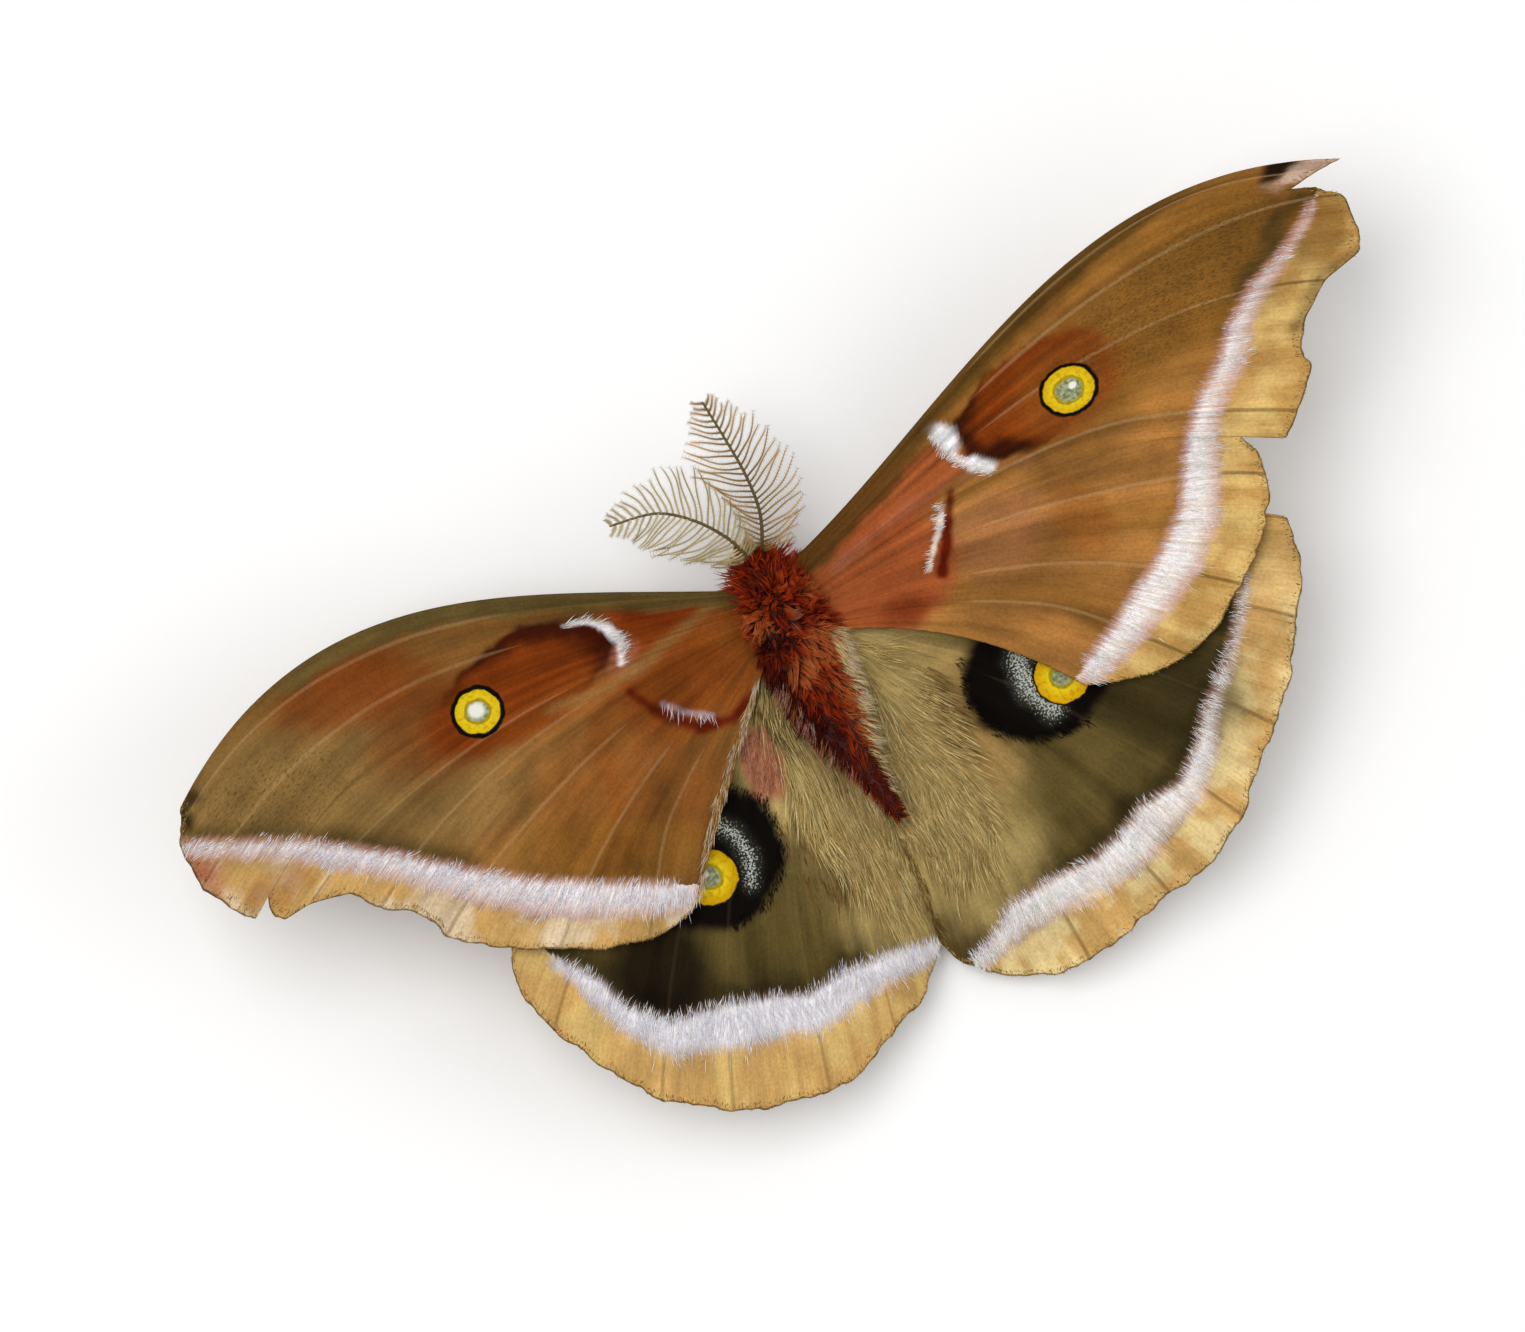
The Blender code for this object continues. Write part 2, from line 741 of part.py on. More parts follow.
def build_feeler(name, knots, finish):
    """One feathered feeler: a shaft with a row of curved barbs along each side, fused to one body.

    A barb leans forwards more the nearer it stands to the tip, and its length follows a sine.
    """
    spine = smooth_line(knots, FEELER_RINGS)
    line = [(*point, feeler_radius(i / (FEELER_RINGS - 1))) for i, point in enumerate(spine)]
    shaft = solid(name, *tube_mesh(line, FEELER_SIDES), finish)
    inner = 1 if name == "antenna_right" else -1
    barbs = []
    fine = smooth_line(knots, FEELER_STEPS)
    heading = np.gradient(fine, axis=0)
    for k, share in enumerate(np.linspace(BARB_FROM, BARB_TO, 2 * BARB_PAIRS)):
        side = inner if k % 2 else -inner
        i = int(share * (FEELER_STEPS - 1))
        along = unit(heading[i])
        out = unit(np.cross((0.0, 0.0, 1.0), along)) * -side
        length = BARB_LENGTH * math.sin(math.pi * (0.1 + 0.84 * share)) ** 0.85
        lift = -BARB_DROP
        if side == inner:
            length = min(length, feeler_spacing(knots, fine[i]))
            lift = BARB_LIFT * -inner
        rows = []
        for step, taper in BARB_TAPER:
            sweep = (0.2 + 0.35 * share) * step + 0.36 * step * step
            middle = fine[i] + (out * step + along * sweep) * length
            middle = middle + np.array((0.0, 0.0, lift)) * step
            rows.append((*middle, BARB_RADIUS * taper))
        barbs.append(solid("barb", *tube_mesh(rows, BARB_SIDES)))
    joined(shaft, barbs, "UNION")


def egg_surface(middle, radii, boxiness, turn, tilt):
    """A point and the outward direction on a rounded box."""
    point = egg_point(middle, radii, boxiness, turn, tilt)
    return point, unit((point - middle) / np.square(radii))


def lock(fur, rng, point, normal, lie, scale=1.0, width=None, sink=None):
    """One lock of a fur, its length scaled, with its own width and sink where they are given."""
    length = rng.uniform(*fur.length) * scale
    shape = (length, width or fur.width, fur.thick, sink or fur.sink, rng.uniform(*fur.bend))
    return solid("lock", *lock_mesh(point, normal, lie, *shape))


def thorax_locks():
    """The thick fur of the thorax, in rings from front to rear, standing out all round."""
    fur, rng, pieces = THORAX_FUR, np.random.default_rng(THORAX_FUR.seed), []
    for ring, share in enumerate(fur.shares()):
        tilt = math.pi * share
        count = max(6, round(fur.around * math.sin(tilt)))
        for turn in fur.turns(ring, count, rng):
            below = max(0.0, -math.sin(turn))
            if below > 0.75:
                continue
            point, normal = egg_surface(THORAX_MIDDLE, THORAX_RADII, THORAX_BOXINESS, turn, tilt)
            out = (point - THORAX_MIDDLE) / np.array(THORAX_RADII)
            lie = unit(out * (1.0, 1.0, 0.5) + (0.0, -0.55, 0.0))
            pieces.append(lock(fur, rng, point, normal, lie, 1.0 - 0.35 * below))
    return pieces


def abdomen_locks():
    """The fur of the abdomen, lying backwards, smaller where the abdomen is thinner."""
    fur, rng, pieces = ABDOMEN_FUR, np.random.default_rng(ABDOMEN_FUR.seed), []
    line = smooth_line(ABDOMEN_LINE, FEELER_STEPS)
    thickest = max(row[3] for row in ABDOMEN_LINE)
    for ring, share in enumerate(fur.shares()):
        x, f, z, radius = line[int(share * (FEELER_STEPS - 1))]
        stout = radius / thickest
        count = max(4, round(fur.around * stout**0.6))
        for turn in fur.turns(ring, count, rng):
            normal = np.array((math.cos(turn), 0.0, math.sin(turn)))
            if normal[2] < -0.6:
                continue
            point = np.array((x, f, z)) + normal * radius
            lie = unit(normal * 0.25 + (0.0, -1.0, 0.0))
            width = fur.width * (0.55 + 0.45 * stout)
            sink = min(fur.sink, 0.6 * radius)
            pieces.append(lock(fur, rng, point, normal, lie, 0.65 + 0.35 * stout, width, sink))
    return pieces


def head_locks():
    """The tuft of fur on the head's crown and face, clear of the eyes at its sides."""
    fur, rng, pieces = HEAD_FUR, np.random.default_rng(HEAD_FUR.seed), []
    for ring, share in enumerate(fur.shares()):
        for turn in fur.turns(ring, fur.around - 2 * (fur.rings - 1 - ring), rng):
            if abs(math.cos(turn)) > 0.8:
                continue
            point, normal = egg_surface(HEAD_MIDDLE, HEAD_RADII, ROUND, turn, math.pi * share)
            pieces.append(lock(fur, rng, point, normal, unit(normal + (0.0, 0.6, -0.2))))
    return pieces


def feeler_room(knots):
    """A cutter that leaves the gap round a feeler's root."""
    line = smooth_line(knots, 40)
    return bar_room([(*point, FEELER_RADIUS) for point in line[: round(FEELER_ROOT_SHARE * len(line))]])


def palp_line(side):
    """One palp's middle line under the face, with its radius."""
    x, f, z = HEAD_MIDDLE
    return [
        (x + side * 0.5, f + 1.0, z - 1.4, 0.32),
        (x + side * 0.55, f + 1.9, z - 1.7, 0.36),
        (x + side * 0.58, f + 2.5, z - 1.4, 0.36),
        (x + side * 0.58, f + 2.9, z - 0.8, 0.26),
    ]


def build_head():
    """The head's core and fur, with room cut for the eyes, feelers and palps."""
    finish = finish_of("head_fur", CHESTNUT, 0.85)
    head = solid("head", *egg_mesh(HEAD_MIDDLE, HEAD_RADII, ROUND, HEAD_SIDES, HEAD_RINGS), finish)
    joined(head, head_locks(), "UNION")
    cutters = [feeler_room(LEFT_FEELER), feeler_room(RIGHT_FEELER)]
    for side in (1, -1):
        cutters.append(
            solid(
                "eye_room",
                *egg_mesh(eye_middle(side), (EYE_RADIUS,) * 3, ROUND, EYE_SIDES, EYE_RINGS, grow=CUT_GAP),
            )
        )
        cutters.append(bar_room(palp_line(side)))
        solid(f"palp_{'left' if side > 0 else 'right'}", *tube_mesh(palp_line(side), BAR_SIDES), finish)
    joined(head, cutters, "DIFFERENCE")


def build_thorax():
    """The thorax's core and fur, with room cut for all that grows from it."""
    finish = finish_of("thorax_fur", CHESTNUT, 0.85)
    core = egg_mesh(THORAX_MIDDLE, THORAX_RADII, THORAX_BOXINESS, THORAX_SIDES, THORAX_RINGS)
    thorax = solid("thorax", *core, finish)
    joined(thorax, thorax_locks(), "UNION")
    cutters = [wing_room(wing, WING_ROOT_REACH) for wing in WINGS]
    for joints in LEGS.values():
        cutters += [bar_room(leg_line(joints, side)[:LEG_ROOT_JOINTS]) for side in (1, -1)]
    cutters += [head_zone(), abdomen_zone(), feeler_room(LEFT_FEELER), feeler_room(RIGHT_FEELER)]
    joined(thorax, cutters, "DIFFERENCE")


def zone(name, middle, shift, radii, boxiness):
    """A cutter the size of a neighbour's room, with the gap round it."""
    middle = tuple(np.add(middle, shift))
    return solid(name, *egg_mesh(middle, radii, boxiness, ZONE_SIDES, ZONE_RINGS, grow=CUT_GAP))


def head_zone():
    """The room of the head and its fur, which the thorax keeps out of."""
    return zone("head_zone", HEAD_MIDDLE, HEAD_ZONE_SHIFT, HEAD_ZONE_RADII, HEAD_ZONE_BOXINESS)


def abdomen_zone():
    """The room of the abdomen and its fur, which the thorax keeps out of."""
    start = ABDOMEN_LINE[0][:3]
    return zone("abdomen_zone", start, ABDOMEN_ZONE_SHIFT, ABDOMEN_ZONE_RADII, ABDOMEN_ZONE_BOXINESS)


def build_abdomen():
    """The abdomen's core and fur, cut clear of the hindwings and of the thorax."""
    finish = finish_of("abdomen_fur", CHESTNUT, 0.85)
    abdomen = solid("abdomen", *tube_mesh(smooth_line(ABDOMEN_LINE, ABDOMEN_RINGS), ABDOMEN_SIDES), finish)
    joined(abdomen, abdomen_locks(), "UNION")
    cutters = [wing_room(LEFT_HINDWING, 1.0), wing_room(RIGHT_HINDWING, 1.0)]
    joined(abdomen, cutters, "DIFFERENCE")


def main():
    """Builds the whole moth."""
    clear_scene()
    build_wings()
    build_legs()
    build_eyes()
    feeler_finish = finish_of("feeler", STRAW, 0.6)
    build_feeler("antenna_left", LEFT_FEELER, feeler_finish)
    build_feeler("antenna_right", RIGHT_FEELER, feeler_finish)
    build_head()
    build_thorax()
    build_abdomen()


main()
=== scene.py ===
"""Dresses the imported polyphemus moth: skin, scales, fur, feelers, eyes, studio and camera.

Places on the moth are (x, f, z) in millimetres: x to the moth's left, f forwards from the middle of
the thorax, z up from the floor. The picture looks down on the moth from 10 degrees to its left, and
the wing markings are laid out as it shows them, as (out, f): out is the distance outwards from the
body's middle line on either side, as seen from there.
"""

import logging
import math
from dataclasses import dataclass, field
from enum import Enum
from functools import cached_property

import bpy
import numpy as np
from mathutils import Matrix


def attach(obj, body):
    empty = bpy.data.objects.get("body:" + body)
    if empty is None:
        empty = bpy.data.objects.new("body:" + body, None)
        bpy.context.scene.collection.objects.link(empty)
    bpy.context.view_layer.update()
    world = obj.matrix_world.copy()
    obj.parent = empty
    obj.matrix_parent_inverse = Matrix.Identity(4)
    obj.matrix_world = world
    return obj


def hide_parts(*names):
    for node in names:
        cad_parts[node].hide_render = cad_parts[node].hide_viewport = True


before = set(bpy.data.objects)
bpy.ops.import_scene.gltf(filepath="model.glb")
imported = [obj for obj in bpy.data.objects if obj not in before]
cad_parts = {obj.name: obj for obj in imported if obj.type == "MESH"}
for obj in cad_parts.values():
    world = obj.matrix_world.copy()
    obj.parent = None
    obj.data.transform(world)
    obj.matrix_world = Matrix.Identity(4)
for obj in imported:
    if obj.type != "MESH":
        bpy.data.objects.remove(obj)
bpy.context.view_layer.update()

log = logging.getLogger("moth")

MM = 0.001
BOX_MIDDLE_X = -0.95
BOX_MIDDLE_F = -10.0

VIEW_TILT = math.radians(10.0)
VIEW_LEVEL = 9.5

CHART_START = 0.03
CHART_SPAN = 0.94

Array = np.ndarray
Points = tuple[tuple[float, ...], ...]
Pair = tuple[float, float]
Triple = tuple[float, float, float]
Shell = tuple[Array, list[Array]]
Random = np.random.Generator
Material = bpy.types.Material
Node = bpy.types.Node
Socket = bpy.types.NodeSocket
Tree = bpy.types.NodeTree


class Side(Enum):
    """The moth's own left or right, as the sign of x."""

    LEFT = 1
    RIGHT = -1

    @property
    def word(self) -> str:
        """The side in lower case, as the nodes' names have it."""
        return self.name.lower()


class Kind(Enum):
    """Front or rear pair of wings."""

    FORE = "forewing"
    HIND = "hindwing"


def unit(vectors: Array) -> Array:
    """The vectors at length 1."""
    return vectors / np.maximum(np.linalg.norm(vectors, axis=-1, keepdims=True), 1e-9)


def smooth_step(value: Array, low: float, high: float) -> Array:
    """0 below low, 1 above high, and the cubic 3t2 - 2t3 between them."""
    t = np.clip((np.asarray(value, float) - low) / (high - low), 0.0, 1.0)
    return t * t * (3.0 - 2.0 * t)


def paint(code: str) -> Array:
    """A colour written as six hex digits on the screen's scale, as linear light."""
    screen = np.array([int(code[i : i + 2], 16) for i in (0, 2, 4)]) / 255.0
    return np.where(screen <= 0.04045, screen / 12.92, ((screen + 0.055) / 1.055) ** 2.4)


def place(points: Array) -> Array:
    """Moth places in millimetres as the frame's metres, forwards being -Y."""
    points = np.asarray(points, float)
    return np.stack(
        (
            (points[..., 0] - BOX_MIDDLE_X) * MM,
            (BOX_MIDDLE_F - points[..., 1]) * MM,
            points[..., 2] * MM,
        ),
        axis=-1,
    )


def seen_place(points: Array, side: Side) -> Array:
    """Moth places as the picture shows them, as (out, f), out being towards the given side.

    The picture's view lies VIEW_TILT to the moth's left of upright, so a place shows at
    x cos(tilt) - (z - level) sin(tilt) to the left.
    """
    left = points[..., 0] * math.cos(VIEW_TILT) - (points[..., 2] - VIEW_LEVEL) * math.sin(VIEW_TILT)
    return np.stack((side.value * left, points[..., 1]), -1)


def on_chart(shares: Array) -> Array:
    """Shares from 0 to 1 across an unwrapped skin as places on the OFBake map, clear of its border."""
    return CHART_START + CHART_SPAN * shares


def smooth_line(knots: Points, count: int) -> Array:
    """A smooth curve through knots.

    Each coordinate is a Catmull-Rom spline: between two knots, the cubic whose slope at each knot
    is half the step between that knot's neighbours.

    Args:
        knots: the points that the curve passes.
        count: how many points to return, evenly spaced in the spline's parameter.

    Returns:
        The points, one a row.
    """
    knots = np.asarray(knots, float)
    padded = np.vstack((2 * knots[0] - knots[1], knots, 2 * knots[-1] - knots[-2]))
    along = np.linspace(0.0, len(knots) - 1.0, count)
    i = np.minimum(along.astype(int), len(knots) - 2)
    t = (along - i)[:, None]
    a, b, c, d = (padded[i + k] for k in range(4))
    return 0.5 * (2 * b + (c - a) * t + (2 * a - 5 * b + 4 * c - d) * t**2 + (3 * b - a - 3 * c + d) * t**3)


def interpolated(at: Array, steps: Array, rows: Array) -> Array:
    """Rows that belong to steps, interpolated column by column."""
    return np.stack([np.interp(at, steps, column) for column in rows.T], -1)


def line_distance(points: Array, line: Array) -> tuple[Array, Array]:
    """How far points lie from a line, and where along it.

    The distance to each straight piece is that to its nearest point, and it is positive to the left
    of the line's direction. The nearest piece gives both results.

    Args:
        points: places as (..., 2).
        line: the line's points as (n, 2).

    Returns:
        The signed distances, and the share of the line's points passed.
    """
    flat = points.reshape(-1, 2)
    best = np.full(len(flat), 1e9)
    share = np.zeros(len(flat))
    for i in range(len(line) - 1):
        step = line[i + 1] - line[i]
        offset = flat - line[i]
        t = np.clip(offset @ step / (step @ step), 0.0, 1.0)
        away = offset - t[:, None] * step
        distance = np.hypot(away[:, 0], away[:, 1])
        sign = np.where(step[0] * offset[:, 1] - step[1] * offset[:, 0] >= 0.0, 1.0, -1.0)
        closer = distance < np.abs(best)
        best = np.where(closer, distance * sign, best)
        share = np.where(closer, (i + t) / (len(line) - 1), share)
    return best.reshape(points.shape[:-1]), share.reshape(points.shape[:-1])


def mottle(points: Array, size: float, seed: int, octaves: int = 3) -> Array:
    """Soft random unevenness between about -1 and 1.

    Random numbers stand at the corners of a square or cubic lattice, and the cubic 3t2 - 2t3 blends
    between them. Each further octave has half the size and half the strength of the one before.

    Args:
        points: places as (..., 2) or (..., 3), in millimetres.
        size: the lattice's spacing in millimetres.
        seed: picks the random numbers.
        octaves: how many sizes are added.

    Returns:
        The unevenness at each point.
    """
    table = np.random.default_rng(seed).uniform(-1.0, 1.0, 8192)
    dimensions = points.shape[-1]
    mixers = np.array((73856093, 19349663, 83492791))[:dimensions]
    total = np.zeros(points.shape[:-1])
    for octave in range(octaves):
        spots = points * (2.0**octave / size) + 41.3 * (octave + 1)
        cells = np.floor(spots).astype(np.int64)
        t = spots - cells
        t = t * t * (3.0 - 2.0 * t)
        for corner in np.ndindex(*(2,) * dimensions):
            weight = np.prod(np.where(corner, t, 1.0 - t), axis=-1)
            value = table[((cells + corner) @ mixers) % len(table)]
            total = total + value * weight * 0.5**octave
    return total * 1.3


@dataclass
class Surface:
    """A mesh in the making: points in moth millimetres, faces, and what each point carries."""

    points: Array
    faces: list[Array]
    colours: dict[str, Array] = field(default_factory=dict)
    fields: dict[str, Array] = field(default_factory=dict)
    maps: dict[str, Array] = field(default_factory=dict)

    def __post_init__(self) -> None:
        """Turns the faces outwards; the moth's axes are a mirror image of the frame's."""
        if self.volume() > 0.0:
            self.faces = [part[:, ::-1] for part in self.faces]

    def volume(self) -> float:
        """Six times the enclosed volume: the sum of the faces' triple products, fanned from a corner."""
        total = 0.0
        for faces in self.faces:
            corners = self.points[faces]
            for k in range(1, faces.shape[1] - 1):
                cross = np.cross(corners[:, k], corners[:, k + 1])
                total += float(np.einsum("ij,ij->", corners[:, 0], cross))
        return total

    def piece(self, name: str, material: Material, slot: str, *nodes: str) -> None:
        """Puts the surface into the scene, riding on the moth's one body.

        Args:
            name: the piece's name.
            material: its finish.
            slot: the record's material slot; not used.
            nodes: the CAD nodes that it replaces.
        """
        faces = self.faces
        mesh = bpy.data.meshes.new(name)
        corners = np.concatenate([part.ravel() for part in faces])
        sizes = np.concatenate([np.full(len(part), part.shape[1]) for part in faces])
        mesh.vertices.add(len(self.points))
        mesh.vertices.foreach_set("co", place(self.points).astype(np.float32).ravel())
        mesh.loops.add(len(corners))
        mesh.loops.foreach_set("vertex_index", corners.astype(np.int32))
        mesh.polygons.add(len(sizes))
        starts = np.concatenate(([0], np.cumsum(sizes)[:-1]))
        mesh.polygons.foreach_set("loop_start", starts.astype(np.int32))
        mesh.polygons.foreach_set("use_smooth", np.ones(len(sizes), bool))
        mesh.update(calc_edges=True)
        for word, values in self.colours.items():
            layer = mesh.attributes.new(word, "FLOAT_COLOR", "POINT")
            full = np.concatenate((values, np.ones((len(values), 1))), axis=1)
            layer.data.foreach_set("color", full.astype(np.float32).ravel())
        for word, values in self.fields.items():
            layer = mesh.attributes.new(word, "FLOAT", "POINT")
            layer.data.foreach_set("value", values.astype(np.float32).ravel())
        for word, values in self.maps.items():
            layer = mesh.uv_layers.new(name=word)
            layer.data.foreach_set("uv", values[corners].astype(np.float32).ravel())
        mesh.materials.append(material)
        obj = new_object(name, mesh)
        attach(obj, "root")
        if nodes:
            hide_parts(*nodes)
        log.info("%s: %d triangles", name, int((sizes - 2).sum()))


def new_object(name: str, data: object) -> bpy.types.Object:
    """A new object in the scene."""
    obj = bpy.data.objects.new(name, data)
    bpy.context.scene.collection.objects.link(obj)
    return obj


def merged(parts: list[Surface]) -> Surface:
    """Several surfaces as one, their faces renumbered."""
    starts = np.cumsum([0] + [len(part.points) for part in parts])
    return Surface(
        np.concatenate([part.points for part in parts]),
        [faces + start for part, start in zip(parts, starts) for faces in part.faces],
        {word: np.concatenate([part.colours[word] for part in parts]) for word in parts[0].colours},
        {word: np.concatenate([part.fields[word] for part in parts]) for word in parts[0].fields},
        {word: np.concatenate([part.maps[word] for part in parts]) for word in parts[0].maps},
    )


def ring_quads(rings: int, sides: int) -> Array:
    """Corners of the quads between each ring of corners and the next, (rings - 1, sides, 4)."""
    here = np.arange(sides)
    following = (here + 1) % sides
    starts = (np.arange(rings - 1) * sides)[:, None]
    ends = starts + sides
    return np.stack((starts + here, starts + following, ends + following, ends + here), -1)


def strands(paths: Array, widths: Array, up: Array, flatness: float, sides: int = 3) -> Shell:
    """Many tapered bars at once, each closed, ending in a point.

    Round each path point but the last runs a ring: point + side * w * cos(a) + top * w * flatness *
    sin(a), where side is the cross product of the path's direction and up, and top that of side and
    the direction. The last point is the tip.

    Args:
        paths: the bars' middle lines, (bars, points, 3).
        widths: half widths at each point but the last, (bars, points - 1).
        up: the direction that the flat face turns to, (bars, 3).
        flatness: thickness as a share of width.
        sides: corners of each ring.

    Returns:
        All points, and the faces as arrays of quads and triangles.
    """
    bars, count = paths.shape[:2]
    rings = count - 1
    along = unit(np.gradient(paths, axis=1))[:, :rings]
    across = unit(np.cross(along, up[:, None, :]))
    top = np.cross(across, along)
    angles = 2.0 * math.pi * (np.arange(sides) + 0.75) / sides
    reach = widths[:, :, None, None]
    spread = across[:, :, None, :] * np.cos(angles)[:, None]
    rise = top[:, :, None, :] * (np.sin(angles) * flatness)[:, None]
    skin = paths[:, :rings, None, :] + reach * (spread + rise)
    points = np.concatenate((skin.reshape(bars, rings * sides, 3), paths[:, -1:]), axis=1)
    here = np.arange(sides)
    following = (here + 1) % sides
    last = (rings - 1) * sides
    tip = np.stack((last + here, last + following, np.full(sides, rings * sides)), -1)
    foot = np.stack((np.zeros(sides - 2, int), here[2:], here[1:-1]), -1)
    offsets = (np.arange(bars) * (rings * sides + 1))[:, None, None]
    faces = [(ring_quads(rings, sides).reshape(1, -1, 4) + offsets).reshape(-1, 4)]
    faces += [(part[None] + offsets).reshape(-1, 3) for part in (tip, foot)]
    return points.reshape(-1, 3), faces


@dataclass
class Hair:
    """Where a coat's tufts grow, and how each one lies.

    Attributes:
        roots: places on the skin, (n, 3).
        normals: the skin's outward directions, (n, 3).
        lie: the directions that the tips point in, (n, 3).
        lengths: lengths in millimetres, (n,).
        width: width of a tuft near its middle, in millimetres.
        root_colours: colours at the skin, (n, 3).
        tip_colours: colours at the tips, (n, 3).
        chart: each root's place on the unwrapped skin, (n, 2), from 0 to 1.
        lift: how steeply the tufts leave the skin, from 0, flat, to 1, upright.
        rings: rings of corners in each tuft.
        flatness: thickness as a share of width.
        sink: how deep the roots lie under the skin, in millimetres.
    """

    roots: Array
    normals: Array
    lie: Array
    lengths: Array
    width: float
    root_colours: Array
    tip_colours: Array
    chart: Array
    lift: Array | float = 0.5
    rings: int = 3
    flatness: float = 0.5
    sink: float = 0.15

    CHART_PATCH = 0.003

    def surface(self, rng: Random) -> Surface:
        """The coat as one mesh.

        Each tuft follows a parabola: root + first * L * t + (lie - first) * L * t2 / 2, where first
        leaves the skin between the normal and the lie. Its half width grows a little and then
        shrinks to the tip.

        Args:
            rng: varies the widths.

        Returns:
            The tufts with their colours and their patches on the OFBake map.
        """
        lift = np.broadcast_to(np.asarray(self.lift, float), self.lengths.shape)[:, None, None]
        t = np.linspace(0.0, 1.0, self.rings + 1)[None, :, None]
        first = unit(self.normals[:, None] * lift + self.lie[:, None] * (1.0 - 0.75 * lift))
        final = unit(self.lie)[:, None]
        length = self.lengths[:, None, None]
        paths = self.roots[:, None] + length * (first * t + (final - first) * 0.5 * t * t)
        paths[:, 0] -= self.sink * first[:, 0]
        taper = np.interp(np.linspace(0.0, 1.0, self.rings + 1)[:-1], (0.0, 0.35, 1.0), (0.8, 1.0, 0.25))
        widths = 0.5 * self.width * rng.uniform(0.7, 1.3, (len(self.roots), 1)) * taper
        points, faces = strands(paths, widths, self.normals, self.flatness)
        shares = np.concatenate((np.repeat(t[0, :-1, 0], 3), [1.0]))
        blend = shares[None, :, None]
        colours = self.root_colours[:, None] * (1.0 - blend) + self.tip_colours[:, None] * blend
        corner = np.concatenate((np.tile((0.0, 0.5, 1.0), self.rings), [0.5]))
        patch = self.CHART_PATCH * (np.stack((corner, shares), -1) - 0.5)
        chart = self.chart[:, None] + patch[None]
        return Surface(
            points, faces, {"tint": colours.reshape(-1, 3)}, {}, {"OFBake": chart.reshape(-1, 2)}
        )


class Graph:
    """A shader node tree, wired by short calls that return sockets."""

    def __init__(self, tree: Tree) -> None:
        """Starts on a node tree."""
        self.tree = tree

    def add(self, kind: str, inputs: dict | None = None, **settings: object) -> Node:
        """A new node.

        Args:
            kind: the node's type.
            inputs: values or sockets for its inputs, by name or number.
            settings: its other properties.

        Returns:
            The node.
        """
        node = self.tree.nodes.new(kind)
        for word, value in settings.items():
            setattr(node, word, value)
        return self.feed_all(node, inputs or {})

    def feed_all(self, node: Node, inputs: dict) -> Node:
        """Feeds several of a node's inputs, by name or number."""
        for word, value in inputs.items():
            self.feed(node.inputs[word], value)
        return node

    def feed(self, socket: Socket, value: object) -> None:
        """Links a socket to value, or sets it to value."""
        if isinstance(value, Socket):
            self.tree.links.new(value, socket)
        elif isinstance(value, np.ndarray) and socket.type == "RGBA":
            socket.default_value = (*value, 1.0)
        else:
            socket.default_value = value

    def math(self, operation: str, *values: object) -> Socket:
        """The result of a Math node."""
        return self.add("ShaderNodeMath", dict(enumerate(values)), operation=operation).outputs[0]

    def times(self, first: object, second: object) -> Socket:
        """The product of two numbers."""
        return self.math("MULTIPLY", first, second)

    def plus(self, first: object, second: object) -> Socket:
        """The sum of two numbers."""
        return self.math("ADD", first, second)

    def minus(self, first: object, second: object) -> Socket:
        """The first number less the second."""
        return self.math("SUBTRACT", first, second)

    def vector(self, operation: str, *values: object) -> Node:
        """A Vector Math node."""
        return self.add("ShaderNodeVectorMath", dict(enumerate(values)), operation=operation)

    def between(self, value: object, low: object, high: object) -> Socket:
        """0 where value is under low, 1 over high, smooth between."""
        inputs = {"Value": value, "From Min": low, "From Max": high}
        node = self.add("ShaderNodeMapRange", inputs, interpolation_type="SMOOTHSTEP")
        return node.outputs["Result"]

    def mix(self, factor: object, first: object, second: object, blend: str = "MIX") -> Socket:
        """Two colours mixed."""
        inputs = {0: factor, 6: first, 7: second}
        node = self.add("ShaderNodeMix", inputs, data_type="RGBA", blend_type=blend)
        return node.outputs[2]

    def shaded(self, colour: object, shade: object) -> Socket:
        """A colour made lighter or darker by a number."""
        tone = self.add("ShaderNodeCombineColor", {0: shade, 1: shade, 2: shade}).outputs[0]
        return self.mix(1.0, colour, tone, "MULTIPLY")

    def bump(self, height: object, strength: float, distance: float, **settings: object) -> Socket:
        """The normal bent by a height; distance is the height's size in metres."""
        inputs = {"Strength": strength, "Distance": distance, "Height": height}
        return self.add("ShaderNodeBump", inputs, **settings).outputs[0]

    def noise(self, vector: object, scale: float, detail: float = 2.0) -> Socket:
        """Soft noise between 0 and 1."""
        inputs = {"Vector": vector, "Scale": scale, "Detail": detail}
        return self.add("ShaderNodeTexNoise", inputs).outputs[0]

    def stretched(self, vector: object, scale: Triple) -> Socket:
        """A vector with each of its three numbers multiplied."""
        return self.vector("MULTIPLY", vector, scale).outputs[0]

    def map(self, name: str) -> Socket:
        """The places that a UV map gives."""
        return self.add("ShaderNodeUVMap", uv_map=name).outputs[0]

    def colour(self, name: str) -> Socket:
        """A colour carried by the mesh."""
        return self.add("ShaderNodeAttribute", attribute_name=name).outputs["Color"]

    def number(self, name: str) -> Socket:
        """A number carried by the mesh."""
        return self.add("ShaderNodeAttribute", attribute_name=name).outputs["Fac"]

    def object_place(self) -> Socket:
        """Object coordinates."""
        return self.add("ShaderNodeTexCoord").outputs["Object"]

    def group(self, tree: Tree, inputs: dict) -> Node:
        """A shader node group placed with its own values."""
        node = self.tree.nodes.new("ShaderNodeGroup")
        node.node_tree = tree
        return self.feed_all(node, inputs)


